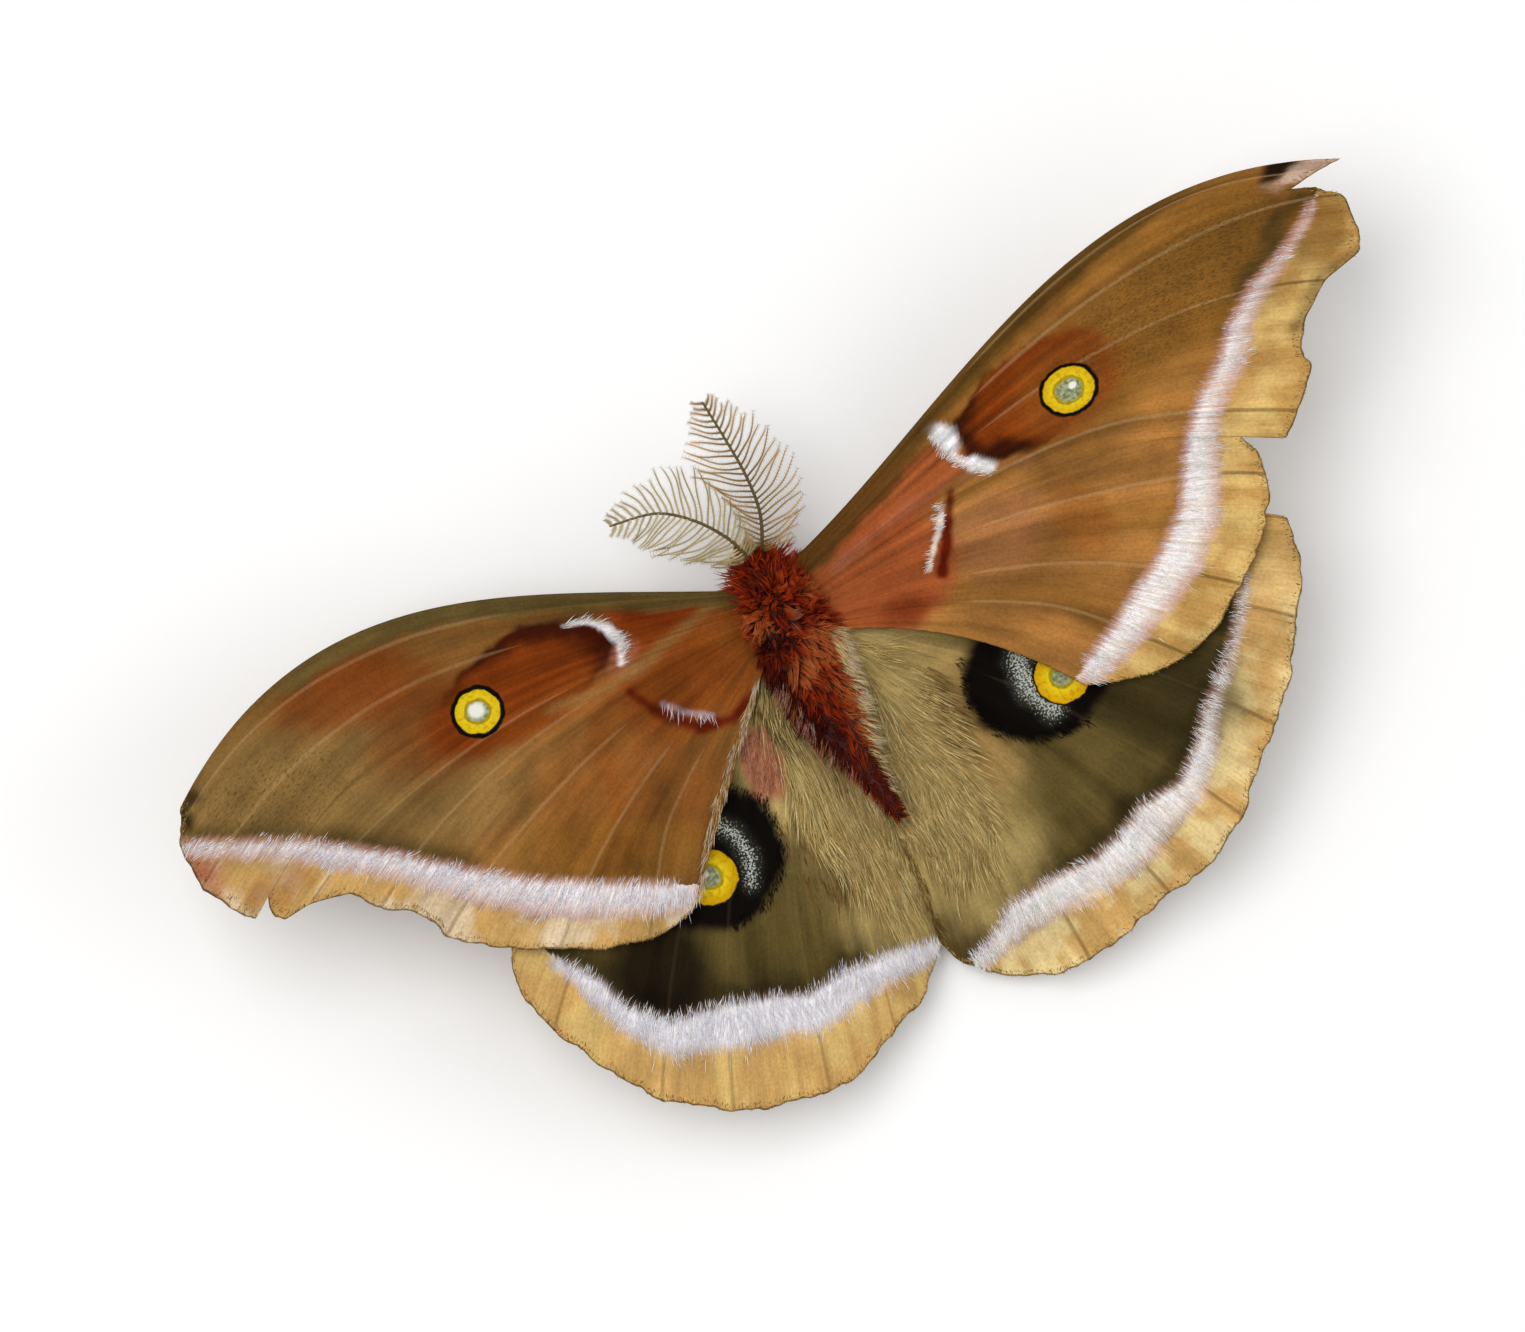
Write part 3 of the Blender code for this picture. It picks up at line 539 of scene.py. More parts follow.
def new_group(name: str, inputs: dict[str, str], outputs: dict[str, str]) -> tuple[Graph, dict, Node]:
    """An empty shader node group.

    Args:
        name: the group's name.
        inputs: kind of socket for each input's name: Float, Vector or Color.
        outputs: the same for the outputs.

    Returns:
        Its graph, its input sockets by name, and its output node.
    """
    tree = bpy.data.node_groups.new(name, "ShaderNodeTree")
    for word, kind in inputs.items():
        tree.interface.new_socket(word, in_out="INPUT", socket_type=f"NodeSocket{kind}")
    for word, kind in outputs.items():
        tree.interface.new_socket(word, in_out="OUTPUT", socket_type=f"NodeSocket{kind}")
    start = tree.nodes.new("NodeGroupInput")
    return Graph(tree), {word: start.outputs[word] for word in inputs}, tree.nodes.new("NodeGroupOutput")


def scale_grain_group() -> Tree:
    """Rows of fine scales: streaks along the rays, specks across them, and their height."""
    graph, given, end = new_group(
        "scale_grain",
        {"Rays": "Vector", "Place": "Vector", "Streak": "Float", "Speck": "Float"},
        {"Shade": "Float", "Height": "Float"},
    )
    streaks = graph.noise(graph.stretched(given["Rays"], (420.0, 16.0, 1.0)), 1.0, 3.0)
    broad = graph.noise(graph.stretched(given["Rays"], (70.0, 5.0, 1.0)), 1.0, 2.0)
    specks = graph.noise(given["Place"], 3200.0, 1.0)
    ranks = graph.noise(graph.stretched(given["Rays"], (900.0, 150.0, 1.0)), 1.0, 1.0)
    lines = graph.plus(graph.times(streaks, 0.65), graph.times(broad, 0.35))
    light = graph.math("MULTIPLY_ADD", graph.minus(lines, 0.5), given["Streak"], 1.0)
    specked = graph.math("MULTIPLY_ADD", graph.minus(specks, 0.5), given["Speck"], light)
    graph.feed(end.inputs["Shade"], specked)
    height = graph.plus(graph.times(ranks, 0.6), graph.times(streaks, 0.4))
    graph.feed(end.inputs["Height"], height)
    return graph.tree


def hairy_band_group() -> Tree:
    """A band of pale brush-like hairs with feathered edges, and the pink along its two edges."""
    graph, given, end = new_group(
        "hairy_band",
        {"Inside": "Float", "Outside": "Float", "Rays": "Vector", "Feather": "Float"},
        {"White": "Float", "Pink": "Float"},
    )
    hairs = graph.noise(graph.stretched(given["Rays"], (620.0, 9.0, 1.0)), 1.0, 2.0)
    clumps = graph.noise(graph.stretched(given["Rays"], (150.0, 5.0, 1.0)), 1.0, 2.0)
    both = graph.plus(graph.times(hairs, 0.6), graph.times(clumps, 0.4))
    shift = graph.times(graph.minus(both, 0.5), given["Feather"])
    inside = graph.between(graph.plus(given["Inside"], shift), -0.3, 0.8)
    outside = graph.between(graph.plus(given["Outside"], shift), -1.0, 2.1)
    streaks = graph.math("MULTIPLY_ADD", graph.between(both, 0.36, 0.58), 0.5, 0.5)
    body = graph.times(inside, outside)
    graph.feed(end.inputs["White"], graph.times(body, streaks))
    near = graph.math("MINIMUM", given["Inside"], given["Outside"])
    rise = graph.between(graph.plus(near, shift), -0.9, -0.2)
    fall = graph.between(near, 1.5, 0.3)
    graph.feed(end.inputs["Pink"], graph.times(rise, fall))
    return graph.tree


def eye_rings_group() -> Tree:
    """An eyespot: black ring, yellow ring and grey-green pupil with a pale glint.

    The distance is the length of (place - centre) / radii, so 1 is the black ring's outer edge.
    """
    graph, given, end = new_group(
        "eye_rings",
        {
            "Place": "Vector", "Centre": "Vector", "Radii": "Vector", "Yellow": "Float", "Pupil": "Float",
            "Glint": "Vector", "Glint Size": "Float", "Gold": "Color",
        },
        {"Color": "Color", "Mask": "Float"},
    )
    offset = graph.vector("SUBTRACT", given["Place"], given["Centre"])
    shares = graph.vector("DIVIDE", offset.outputs[0], given["Radii"])
    length = graph.vector("LENGTH", shares.outputs[0]).outputs["Value"]
    wobble = graph.math("MULTIPLY_ADD", graph.noise(given["Place"], 0.9, 2.0), 0.18, -0.09)
    ring = graph.plus(length, wobble)
    yellow = graph.mix(graph.between(ring, given["Pupil"], given["Yellow"]), paint("e6c81e"), given["Gold"])
    blotches = graph.between(graph.noise(given["Place"], 2.2, 3.0), 0.46, 0.7)
    yellow = graph.mix(graph.times(blotches, 0.55), yellow, paint("a87908"))
    inner = graph.plus(given["Pupil"], 0.05)
    rim = graph.between(ring, graph.plus(inner, 0.06), inner)
    black = graph.between(ring, given["Yellow"], graph.plus(given["Yellow"], 0.06))
    colour = graph.mix(black, yellow, paint("0b0906"))
    colour = graph.mix(graph.times(rim, 0.6), colour, paint("5a5212"))
    grain = graph.between(graph.noise(given["Place"], 2.4, 3.0), 0.35, 0.65)
    pupil = graph.mix(grain, paint("6d7450"), paint("a5a884"))
    colour = graph.mix(graph.between(ring, given["Pupil"], graph.minus(given["Pupil"], 0.06)), colour, pupil)
    towards = graph.vector("SUBTRACT", shares.outputs[0], given["Glint"])
    glint = graph.vector("LENGTH", towards.outputs[0]).outputs["Value"]
    glint = graph.plus(glint, wobble)
    bright = graph.between(glint, given["Glint Size"], graph.times(given["Glint Size"], 0.45))
    inside = graph.between(ring, given["Pupil"], graph.minus(given["Pupil"], 0.08))
    bright = graph.times(graph.times(bright, inside), 0.92)
    colour = graph.mix(bright, colour, paint("efeee2"))
    graph.feed(end.inputs["Color"], colour)
    graph.feed(end.inputs["Mask"], graph.between(ring, 1.04, 0.97))
    return graph.tree


def new_material(name: str) -> tuple[Material, Graph, Node]:
    """A material with a Principled shader, its graph and the shader."""
    material = bpy.data.materials.new(name)
    material.use_nodes = True
    return material, Graph(material.node_tree), material.node_tree.nodes["Principled BSDF"]


@dataclass(frozen=True)
class WingFinish:
    """The scales of one wing. Colours are screen hex codes, sizes in picture millimetres."""

    name: str
    spot: Pair
    spot_radii: Pair
    yellow: float
    pupil: float
    glint: Pair
    glint_size: float
    gold: str
    vein_strength: float
    margin_vein: float
    pink_strength: float
    fleck: str
    fleck_along_rays: bool
    streak: float = 0.9
    speck: float = 0.5
    feather: float = 2.8
    white_strength: float = 0.88
    white: str = "f4f0f4"
    pink: str = "bd8f7e"

    def material(self, groups: dict[str, Tree]) -> Material:
        """Wires ground colours, veins, specks, band, eyespot and edge.

        Args:
            groups: the shared shader node groups.

        Returns:
            The wing's material.
        """
        material, graph, shader = new_material(self.name)
        rays, spread = graph.map("rays"), graph.map("spread")
        seen = graph.stretched(spread, (100.0, 100.0, 0.0))
        grain = graph.group(
            groups["scale_grain"],
            {"Rays": rays, "Place": graph.object_place(), "Streak": self.streak, "Speck": self.speck},
        )
        colour = graph.colour("ground")
        vein = graph.between(graph.number("vein"), 0.3, 0.08)
        beyond = graph.between(graph.number("outside"), 0.2, -0.6)
        inner_vein = graph.times(graph.minus(1.0, beyond), vein)
        colour = graph.mix(graph.times(inner_vein, self.vein_strength), colour, paint("c9a676"))
        outer_vein = graph.times(beyond, vein)
        colour = graph.mix(graph.times(outer_vein, self.margin_vein), colour, paint("5b3d17"))
        places, scale = seen, 4.6
        if self.fleck_along_rays:
            places, scale = graph.stretched(rays, (430.0, 120.0, 1.0)), 1.0
        dots = graph.plus(graph.noise(places, scale, 2.0), graph.times(graph.number("speckle"), 0.3))
        flecks = graph.times(graph.between(dots, 0.72, 0.82), graph.number("speckle"))
        colour = graph.mix(flecks, colour, paint(self.fleck))
        band = graph.group(
            groups["hairy_band"],
            {
                "Inside": graph.number("inside"), "Outside": graph.number("outside"), "Rays": rays,
                "Feather": self.feather,
            },
        )
        colour = graph.mix(graph.times(band.outputs["Pink"], self.pink_strength), colour, paint(self.pink))
        colour = graph.mix(graph.times(band.outputs["White"], self.white_strength), colour, paint(self.white))
        colour = graph.shaded(colour, grain.outputs["Shade"])
        rings = graph.group(
            groups["eye_rings"],
            {
                "Place": seen, "Centre": (*self.spot, 0.0), "Radii": (*self.spot_radii, 1.0),
                "Yellow": self.yellow, "Pupil": self.pupil, "Gold": paint(self.gold),
                "Glint": (*self.glint, 0.0), "Glint Size": self.glint_size,
            },
        )
        colour = graph.mix(rings.outputs["Mask"], colour, rings.outputs["Color"])
        frayed = graph.math("MULTIPLY_ADD", graph.noise(seen, 1.3, 2.0), 0.5, graph.number("edge"))
        edge = graph.between(frayed, 0.5, 0.3)
        colour = graph.mix(graph.times(edge, 0.75), colour, paint("43300f"))
        bump = graph.bump(grain.outputs["Height"], 0.6, 0.12 * MM)
        look = {"Base Color": colour, "Normal": bump, "Roughness": 0.85, "Specular IOR Level": 0.05}
        graph.feed_all(shader, look)
        return material


@dataclass(frozen=True)
class FurFinish:
    """Fur or scales that take their colour from each tuft's own tint."""

    name: str
    roughness: float
    specular: float
    mottle: float

    def material(self) -> Material:
        """The tint, mottled a little over the moth."""
        material, graph, shader = new_material(self.name)
        noise = graph.noise(graph.object_place(), 900.0, 3.0)
        shade = graph.math("MULTIPLY_ADD", graph.minus(noise, 0.5), self.mottle, 1.0)
        colour = graph.shaded(graph.colour("tint"), shade)
        look = {"Base Color": colour, "Roughness": self.roughness, "Specular IOR Level": self.specular}
        graph.feed_all(shader, look)
        return material


@dataclass(frozen=True)
class SkinFinish:
    """The hide under the fur: tinted, pitted and matt."""

    name: str
    pit_size: float

    def material(self) -> Material:
        """The tint over a fine pitted bump."""
        material, graph, shader = new_material(self.name)
        pits = graph.noise(graph.object_place(), 1.0 / (self.pit_size * MM), 4.0)
        tint = graph.mix(graph.between(pits, 0.35, 0.7), graph.colour("tint"), paint("160502"))
        bump = graph.bump(pits, 0.8, 0.2 * MM)
        graph.feed_all(shader, {"Base Color": tint, "Normal": bump, "Roughness": 0.8})
        return material


@dataclass(frozen=True)
class EyeFinish:
    """A compound eye: near black, glossy, its facets a fine bump."""

    facet_size: float = 0.07

    def material(self) -> Material:
        """Dark brown with facets from a Voronoi pattern."""
        material, graph, shader = new_material("compound_eye")
        cells = graph.add(
            "ShaderNodeTexVoronoi",
            {"Vector": graph.object_place(), "Scale": 1.0 / (self.facet_size * MM)},
        ).outputs["Distance"]
        colour = graph.mix(graph.between(cells, 0.2, 0.7), paint("2a1a12"), paint("070504"))
        look = {
            "Base Color": colour, "Normal": graph.bump(cells, 0.5, 0.03 * MM, invert=True), "Roughness": 0.18,
            "Coat Weight": 0.6, "Coat Roughness": 0.08,
        }
        graph.feed_all(shader, look)
        return material


@dataclass(frozen=True)
class WingShape:
    """One wing seen from above: x outwards from the middle of the body, f forwards.

    margin runs from the front tip round to the inner corner, each point the end of a line from the
    root, and vein_ends are the numbers of those where a vein ends: the radius, three branches of the
    media, two of the cubitus, and the anal vein. Bows are how far the lines stand off their
    chords at their two Bezier handles, at the front, fifth, middle and rear lines. trough is how
    deep the wing dips beside the body 10, 24 and 36 mm behind the thorax.
    """

    kind: Kind
    side: Side
    root_front: Pair
    root_rear: Pair
    near_bow: tuple[float, ...]
    far_bow: tuple[float, ...]
    margin: Points
    vein_ends: tuple[int, ...]
    drop: float = 0.0
    trough: tuple[float, ...] = (0.0, 0.0, 0.0)

    BASE_LEVEL = 9.5
    BASE_X = 5.0
    SLOPE = 0.306
    ARCH = 0.00148
    REAR_DROOP = 0.0022
    TROUGH_WIDTH = 3.6
    EDGE_ROLL = 0.7
    MARGIN_FROM = 0.6
    SMOOTHING_PASSES = 8
    MARGIN_SAMPLES = 60
    CORNER_REACH = 12
    HEART = (6.0, -4.0)
    PANEL_SAG = 0.3
    VEIN_HEIGHT = 0.17
    VEIN_HALF_WIDTH = 0.17
    THICKNESS = 0.28
    FRAY = 0.16

    @property
    def name(self) -> str:
        """The wing's CAD node."""
        return f"{self.kind.value}_{self.side.word}"

    @cached_property
    def steps(self) -> Array:
        """u of each margin point."""
        return np.linspace(0.0, 1.0, len(self.margin))

    @cached_property
    def veins(self) -> Array:
        """u of each vein."""
        return self.steps[list(self.vein_ends)]

    @cached_property
    def even_margin(self) -> Array:
        """The margin with its notches and teeth evened out, both end points kept."""
        even = np.array(self.margin, float)
        for _ in range(self.SMOOTHING_PASSES):
            even[1:-1] = 0.25 * even[:-2] + 0.5 * even[1:-1] + 0.25 * even[2:]
        return even

    @cached_property
    def worn_margin(self) -> tuple[Array, Array]:
        """The real margin, finely sampled: corners softened over part of a step, edge frayed."""
        ends = np.array(self.margin, float)
        u = np.linspace(0.0, 1.0, self.MARGIN_SAMPLES * (len(ends) - 1) + 1)
        line = interpolated(u, self.steps, ends)
        reach = self.CORNER_REACH
        window = np.hanning(2 * reach + 3)[1:-1]
        window /= window.sum()
        padded = np.vstack((np.repeat(line[:1], reach, 0), line, np.repeat(line[-1:], reach, 0)))
        line = np.stack([np.convolve(padded[:, k], window, "valid") for k in (0, 1)], -1)
        outwards = unit(line - np.array(self.HEART))
        teeth = mottle(line, 1.3, 11) + 0.6 * mottle(line, 3.4, 12)
        return u, line + outwards * (self.FRAY * teeth)[:, None]

    def plan(self, u: Array, v: Array) -> Array:
        """Where the wing's lines run, seen from above.

        A point is root + chord * v, moved across the chord by the cubic 3(1-v)2v * near bow +
        3(1-v)v2 * far bow, and near the margin by the difference between the worn and the even
        outline.

        Args:
            u: 0 at the leading edge to 1 at the inner margin.
            v: 0 at the root to 1 at the outer margin.

        Returns:
            x and f in the last axis.
        """
        u, v = np.broadcast_arrays(np.asarray(u, float), np.asarray(v, float))
        fine, worn_line = self.worn_margin
        even = interpolated(u, self.steps, self.even_margin)
        worn = interpolated(u, fine, worn_line)
        root = np.array(self.root_front) * (1.0 - u[..., None]) + np.array(self.root_rear) * u[..., None]
        chord = even - root
        across = unit(np.stack((-chord[..., 1], chord[..., 0]), -1))
        near = np.interp(u, (0.0, 0.2, 0.5, 1.0), self.near_bow)
        far = np.interp(u, (0.0, 0.2, 0.5, 1.0), self.far_bow)
        bow = 3.0 * (1.0 - v) ** 2 * v * near + 3.0 * (1.0 - v) * v * v * far
        wear = (worn - even) * smooth_step(v, self.MARGIN_FROM, 1.0)[..., None]
        return root + chord * v[..., None] + across * bow[..., None] + wear

    def level(self, x: Array, f: Array) -> Array:
        """Height of the wing's middle surface: a rising arch, drooping behind, dipping by the body."""
        out = x - self.BASE_X
        rise = self.SLOPE * out - self.ARCH * out * np.abs(out)
        droop = self.REAR_DROOP * np.minimum(f + 2.0, 0.0) ** 2
        depth = np.interp(-f, (5.0, 10.0, 24.0, 36.0), (0.0,) + self.trough)
        dip = depth * np.exp(-((np.maximum(x - 1.5, 0.0) / self.TROUGH_WIDTH) ** 2))
        return self.BASE_LEVEL + rise - droop - dip - self.drop

    def vein_distance(self, u: Array, v: Array) -> Array:
        """Distance to the nearest vein in millimetres, measured to its point at the same v."""
        here = self.plan(u, v)
        apart = [np.linalg.norm(here - self.plan(np.full_like(v, vein), v), axis=-1) for vein in self.veins]
        return np.min(apart, axis=0)

    def faces(self, u: Array, v: Array) -> tuple[Array, Array]:
        """Points of the wing's upper and under faces in moth millimetres.

        Both lie half the thickness off the middle surface, which sags between the veins, rolls down
        along the leading edge and waves a little. The veins stand out on both.
        """
        u, v = np.broadcast_arrays(np.asarray(u, float), np.asarray(v, float))
        here = self.plan(u, v)
        panel = np.interp(u, np.concatenate(([0.0], self.veins, [1.0])), np.arange(len(self.veins) + 2.0))
        sag = self.PANEL_SAG * np.sin(math.pi * (panel % 1.0)) ** 2 * smooth_step(v, 0.4, 1.0)
        waves = 0.1 * mottle(here, 9.0, 5) + 0.05 * mottle(here, 3.5, 6)
        roll = self.EDGE_ROLL * (1.0 - u) ** 24 * smooth_step(v, 0.0, 0.3)
        middle = self.level(here[..., 0], here[..., 1]) + waves * smooth_step(v, 0.1, 0.4) - sag - roll
        ridge = self.VEIN_HEIGHT * np.exp(-((self.vein_distance(u, v) / self.VEIN_HALF_WIDTH) ** 2))
        ridge = ridge * smooth_step(v, 0.05, 0.2) * (1.0 - 0.5 * v) + 0.5 * self.THICKNESS
        x = self.side.value * here[..., 0]
        upper = np.stack((x, here[..., 1], middle + ridge), -1)
        lower = np.stack((x, here[..., 1], middle - ridge), -1)
        return upper, lower

    def seen(self, points: Array) -> Array:
        """Moth places as the picture shows them, as (out, f)."""
        return seen_place(points, self.side)


LEFT_FOREWING = WingShape(
    kind=Kind.FORE,
    side=Side.LEFT,
    root_front=(3.7, 5.4),
    root_rear=(4.2, -1.6),
    near_bow=(6.8, 5.0, 4.5, 0.0),
    far_bow=(18.0, 12.0, 6.5, 0.5),
    margin=(
        (64.6, 13.2), (66.2, 11.4), (67.1, 8.6), (67.0, 5.2), (65.3, 1.7), (63.7, -0.1), (61.4, 2.3),
        (62.1, -0.7), (61.2, -1.5), (58.3, -1.3), (54.2, -2.3), (52.4, -5.0), (49.4, -6.9), (48.2, -8.8),
        (47.9, -10.6), (45.4, -12.8), (42.2, -15.0), (38.4, -17.2), (33.9, -19.4), (29.6, -20.6),
        (26.8, -20.8), (24.2, -20.3), (22.2, -18.8),
    ),
    vein_ends=(1, 3, 9, 11, 14, 17, 19),
)

RIGHT_FOREWING = WingShape(
    kind=Kind.FORE,
    side=Side.RIGHT,
    root_front=(1.9, 5.2),
    root_rear=(2.2, -2.4),
    near_bow=(2.7, 3.5, 4.5, 3.0),
    far_bow=(16.4, 12.0, 7.0, 2.8),
    margin=(
        (69.0, 14.0), (66.0, 14.0), (61.4, 13.5), (65.4, 12.5), (67.0, 10.8), (67.0, 7.0), (66.0, 4.9),
        (61.5, 4.1), (58.0, 1.7), (56.3, -0.6), (56.1, -2.7), (53.0, -6.0), (50.5, -7.9), (46.7, -4.9),
        (47.3, -7.6), (47.2, -10.0), (46.0, -12.8), (43.6, -15.6), (39.8, -18.5), (36.0, -21.0),
        (32.0, -22.1), (28.4, -22.0), (25.0, -21.1), (21.7, -19.8),
    ),
    vein_ends=(1, 4, 7, 11, 15, 18, 20),
)

LEFT_HINDWING = WingShape(
    kind=Kind.HIND,
    side=Side.LEFT,
    root_front=(4.3, 0.8),
    root_rear=(2.4, -4.0),
    near_bow=(3.0, 3.0, 3.0, -4.2),
    far_bow=(5.0, 4.0, 3.0, -1.6),
    margin=(
        (41.3, -12.6), (43.0, -16.0), (43.6, -20.0), (42.7, -24.0), (40.6, -27.8), (38.2, -32.2),
        (36.0, -35.2), (33.0, -37.8), (30.0, -39.8), (26.6, -41.4), (23.2, -42.0), (20.0, -42.8),
        (16.8, -43.0), (13.8, -41.8), (10.8, -40.7), (7.2, -39.7), (4.8, -38.0), (1.2, -35.4),
    ),
    vein_ends=(1, 3, 6, 8, 11, 14, 16),
    drop=1.4,
    trough=(4.2, 3.4, 2.2),
)

RIGHT_HINDWING = WingShape(
    kind=Kind.HIND,
    side=Side.RIGHT,
    root_front=(2.5, 0.6),
    root_rear=(1.3, -4.0),
    near_bow=(3.0, 3.0, 3.0, 0.5),
    far_bow=(5.0, 4.0, 3.0, 0.5),
    margin=(
        (44.6, -12.4), (47.2, -14.8), (46.6, -19.2), (43.6, -24.2), (40.6, -28.4), (36.8, -32.6),
        (33.2, -35.4), (29.8, -39.0), (25.0, -41.8), (20.0, -42.1), (15.0, -43.5), (10.2, -44.3),
        (6.2, -43.8), (3.0, -42.0), (0.4, -39.8), (-1.0, -37.8), (-1.9, -35.3),
    ),
    vein_ends=(1, 3, 5, 7, 9, 11, 14),
    drop=1.4,
    trough=(4.2, 2.2, 1.0),
)


class Tone(Enum):
    """Colours of scales, fur and horn, as screen hex codes."""

    OLIVE = "5b4c26"
    OLIVE_TAN = "87693a"
    COSTA_BROWN = "513813"
    RUST = "74340a"
    BRICK_DARK = "7c360a"
    CHESTNUT = "844414"
    MAROON = "300500"
    UMBER_BROWN = "7a4e1d"
    DRAB = "785024"
    OCHRE_BROWN = "82571f"
    TAWNY = "9f6c35"
    BRICK = "9a4c26"
    OCHRE_TAN = "b78d4e"
    SAND = "c39a5c"
    STRAW = "ccaa68"
    PALE_SAND = "d2bb98"
    DUSTY_PINK = "c4a794"
    PALE_LILAC = "e2e0e6"
    SMOKE = "66502a"
    UMBER = "463719"
    BLACK_OLIVE = "2c240e"
    DARK_OLIVE = "4f4120"
    SALMON = "9c6248"
    BLACK = "0a0604"
    GREY = "616352"
    TAN_HAIR = "a8915a"
    CREAM = "efe6d4"
    WHITE = "fbf9fb"
    LILAC = "c8bccb"
    BLOOD = "560a00"
    RED_BROWN = "8a2000"
    FOX = "c2581a"
    OCHRE = "b8863c"
    PALE_HORN = "b5a67c"
    PEWTER = "9a7f60"
    PALE_STRAW = "dac187"
    HAIR_TAN = "e0c886"
    HAIR_STRAW = "fbe6ae"
    HAIR_WHITE = "ffffff"
    HAIR_LILAC = "e2dcf0"
    HAIR_CREAM = "fff2dc"
    HAIR_PINK = "e6b3a2"
    EMBER = "b83c02"
    FLAME = "d0743a"

    @property
    def light(self) -> Array:
        """The colour as linear light."""
        return paint(self.value)


Tones = tuple[Tone, ...]


def toned(rng: Random, tones: Tones, count: int, spread: float = 0.18) -> Array:
    """Colours drawn from tones, each made a little lighter or darker."""
    drawn = np.array([tone.light for tone in tones])[rng.integers(0, len(tones), count)]
    return np.clip(drawn * rng.normal(1.0, spread, (count, 1)), 0.0, 1.0)


@dataclass(frozen=True)
class Spot:
    """A soft-edged oval patch, full within its radii and gone at 1 + soft of them."""

    centre: Pair
    radii: Pair
    tone: Tone
    strength: float = 1.0
    soft: float = 0.5
    turn: float = 0.0

    def mask(self, seen: Array, fray: Array) -> Array:
        """How much of the patch each place gets."""
        offset = seen - np.array(self.centre)
        angle = math.radians(self.turn)
        along = offset[..., 0] * math.cos(angle) + offset[..., 1] * math.sin(angle)
        across = offset[..., 1] * math.cos(angle) - offset[..., 0] * math.sin(angle)
        length = np.hypot(along / self.radii[0], across / self.radii[1])
        ragged = length + fray / min(self.radii)
        return self.strength * smooth_step(ragged, 1.0 + self.soft, 1.0 - self.soft * 0.5)


@dataclass(frozen=True)
class Stroke:
    """A soft-edged line of one width."""

    points: Points
    width: float
    tone: Tone
    strength: float = 1.0
    soft: float = 0.5

    def mask(self, seen: Array, fray: Array) -> Array:
        """How much of the line each place gets."""
        distance = np.abs(line_distance(seen, np.array(self.points))[0]) + 0.7 * fray
        half = 0.5 * self.width
        return self.strength * smooth_step(distance, half + self.soft, half - self.soft)


class Zone(Enum):
    """Where a patch of a wing's hairs grows."""

    AREA = "area"
    BAND = "band"
    BAND_INNER_EDGE = "band inner edge"
    MARGIN = "margin"
    INNER_EDGE = "inner edge"


@dataclass(frozen=True)
class HairPatch:
    """Hairs longer than scales on part of a wing, in the given zone, or where area is."""

    zone: Zone
    count: int
    lengths: Pair
    width: float
    roots: Tones
    tips: Tones
    area: Spot | Stroke | None = None
    lift: float = 0.25
    turn: float = 0.0
    scatter: float = 0.25


def slab(upper: Array, lower: Array) -> Shell:
    """A closed slab between two grids of points, its four edges joined by one row of faces."""
    rows, columns = upper.shape[:2]
    index = np.arange(rows * columns).reshape(rows, columns)
    quads = np.stack((index[:-1, :-1], index[1:, :-1], index[1:, 1:], index[:-1, 1:]), -1).reshape(-1, 4)
    loop = np.concatenate((index[0, :-1], index[:-1, -1], index[-1, :0:-1], index[:0:-1, 0]))
    following = np.roll(loop, -1)
    under = rows * columns
    rim = np.stack((loop, following, following + under, loop + under), -1)
    points = np.concatenate((upper.reshape(-1, 3), lower.reshape(-1, 3)))
    return points, [np.concatenate((quads, quads[:, ::-1] + under, rim))]


def ring_skin(rings: Array, first: Array, last: Array) -> Shell:
    """A closed skin over rings of corners, (rings, sides, 3), drawn to a pole at each end."""
    count, sides = rings.shape[:2]
    here = np.arange(sides)
    following = (here + 1) % sides
    tail = (count - 1) * sides
    front = np.stack((following, here, np.full(sides, count * sides)), -1)
    rear = np.stack((tail + here, tail + following, np.full(sides, count * sides + 1)), -1)
    points = np.concatenate((rings.reshape(-1, 3), first[None], last[None]))
    return points, [ring_quads(count, sides).reshape(-1, 4), np.concatenate((front, rear))]


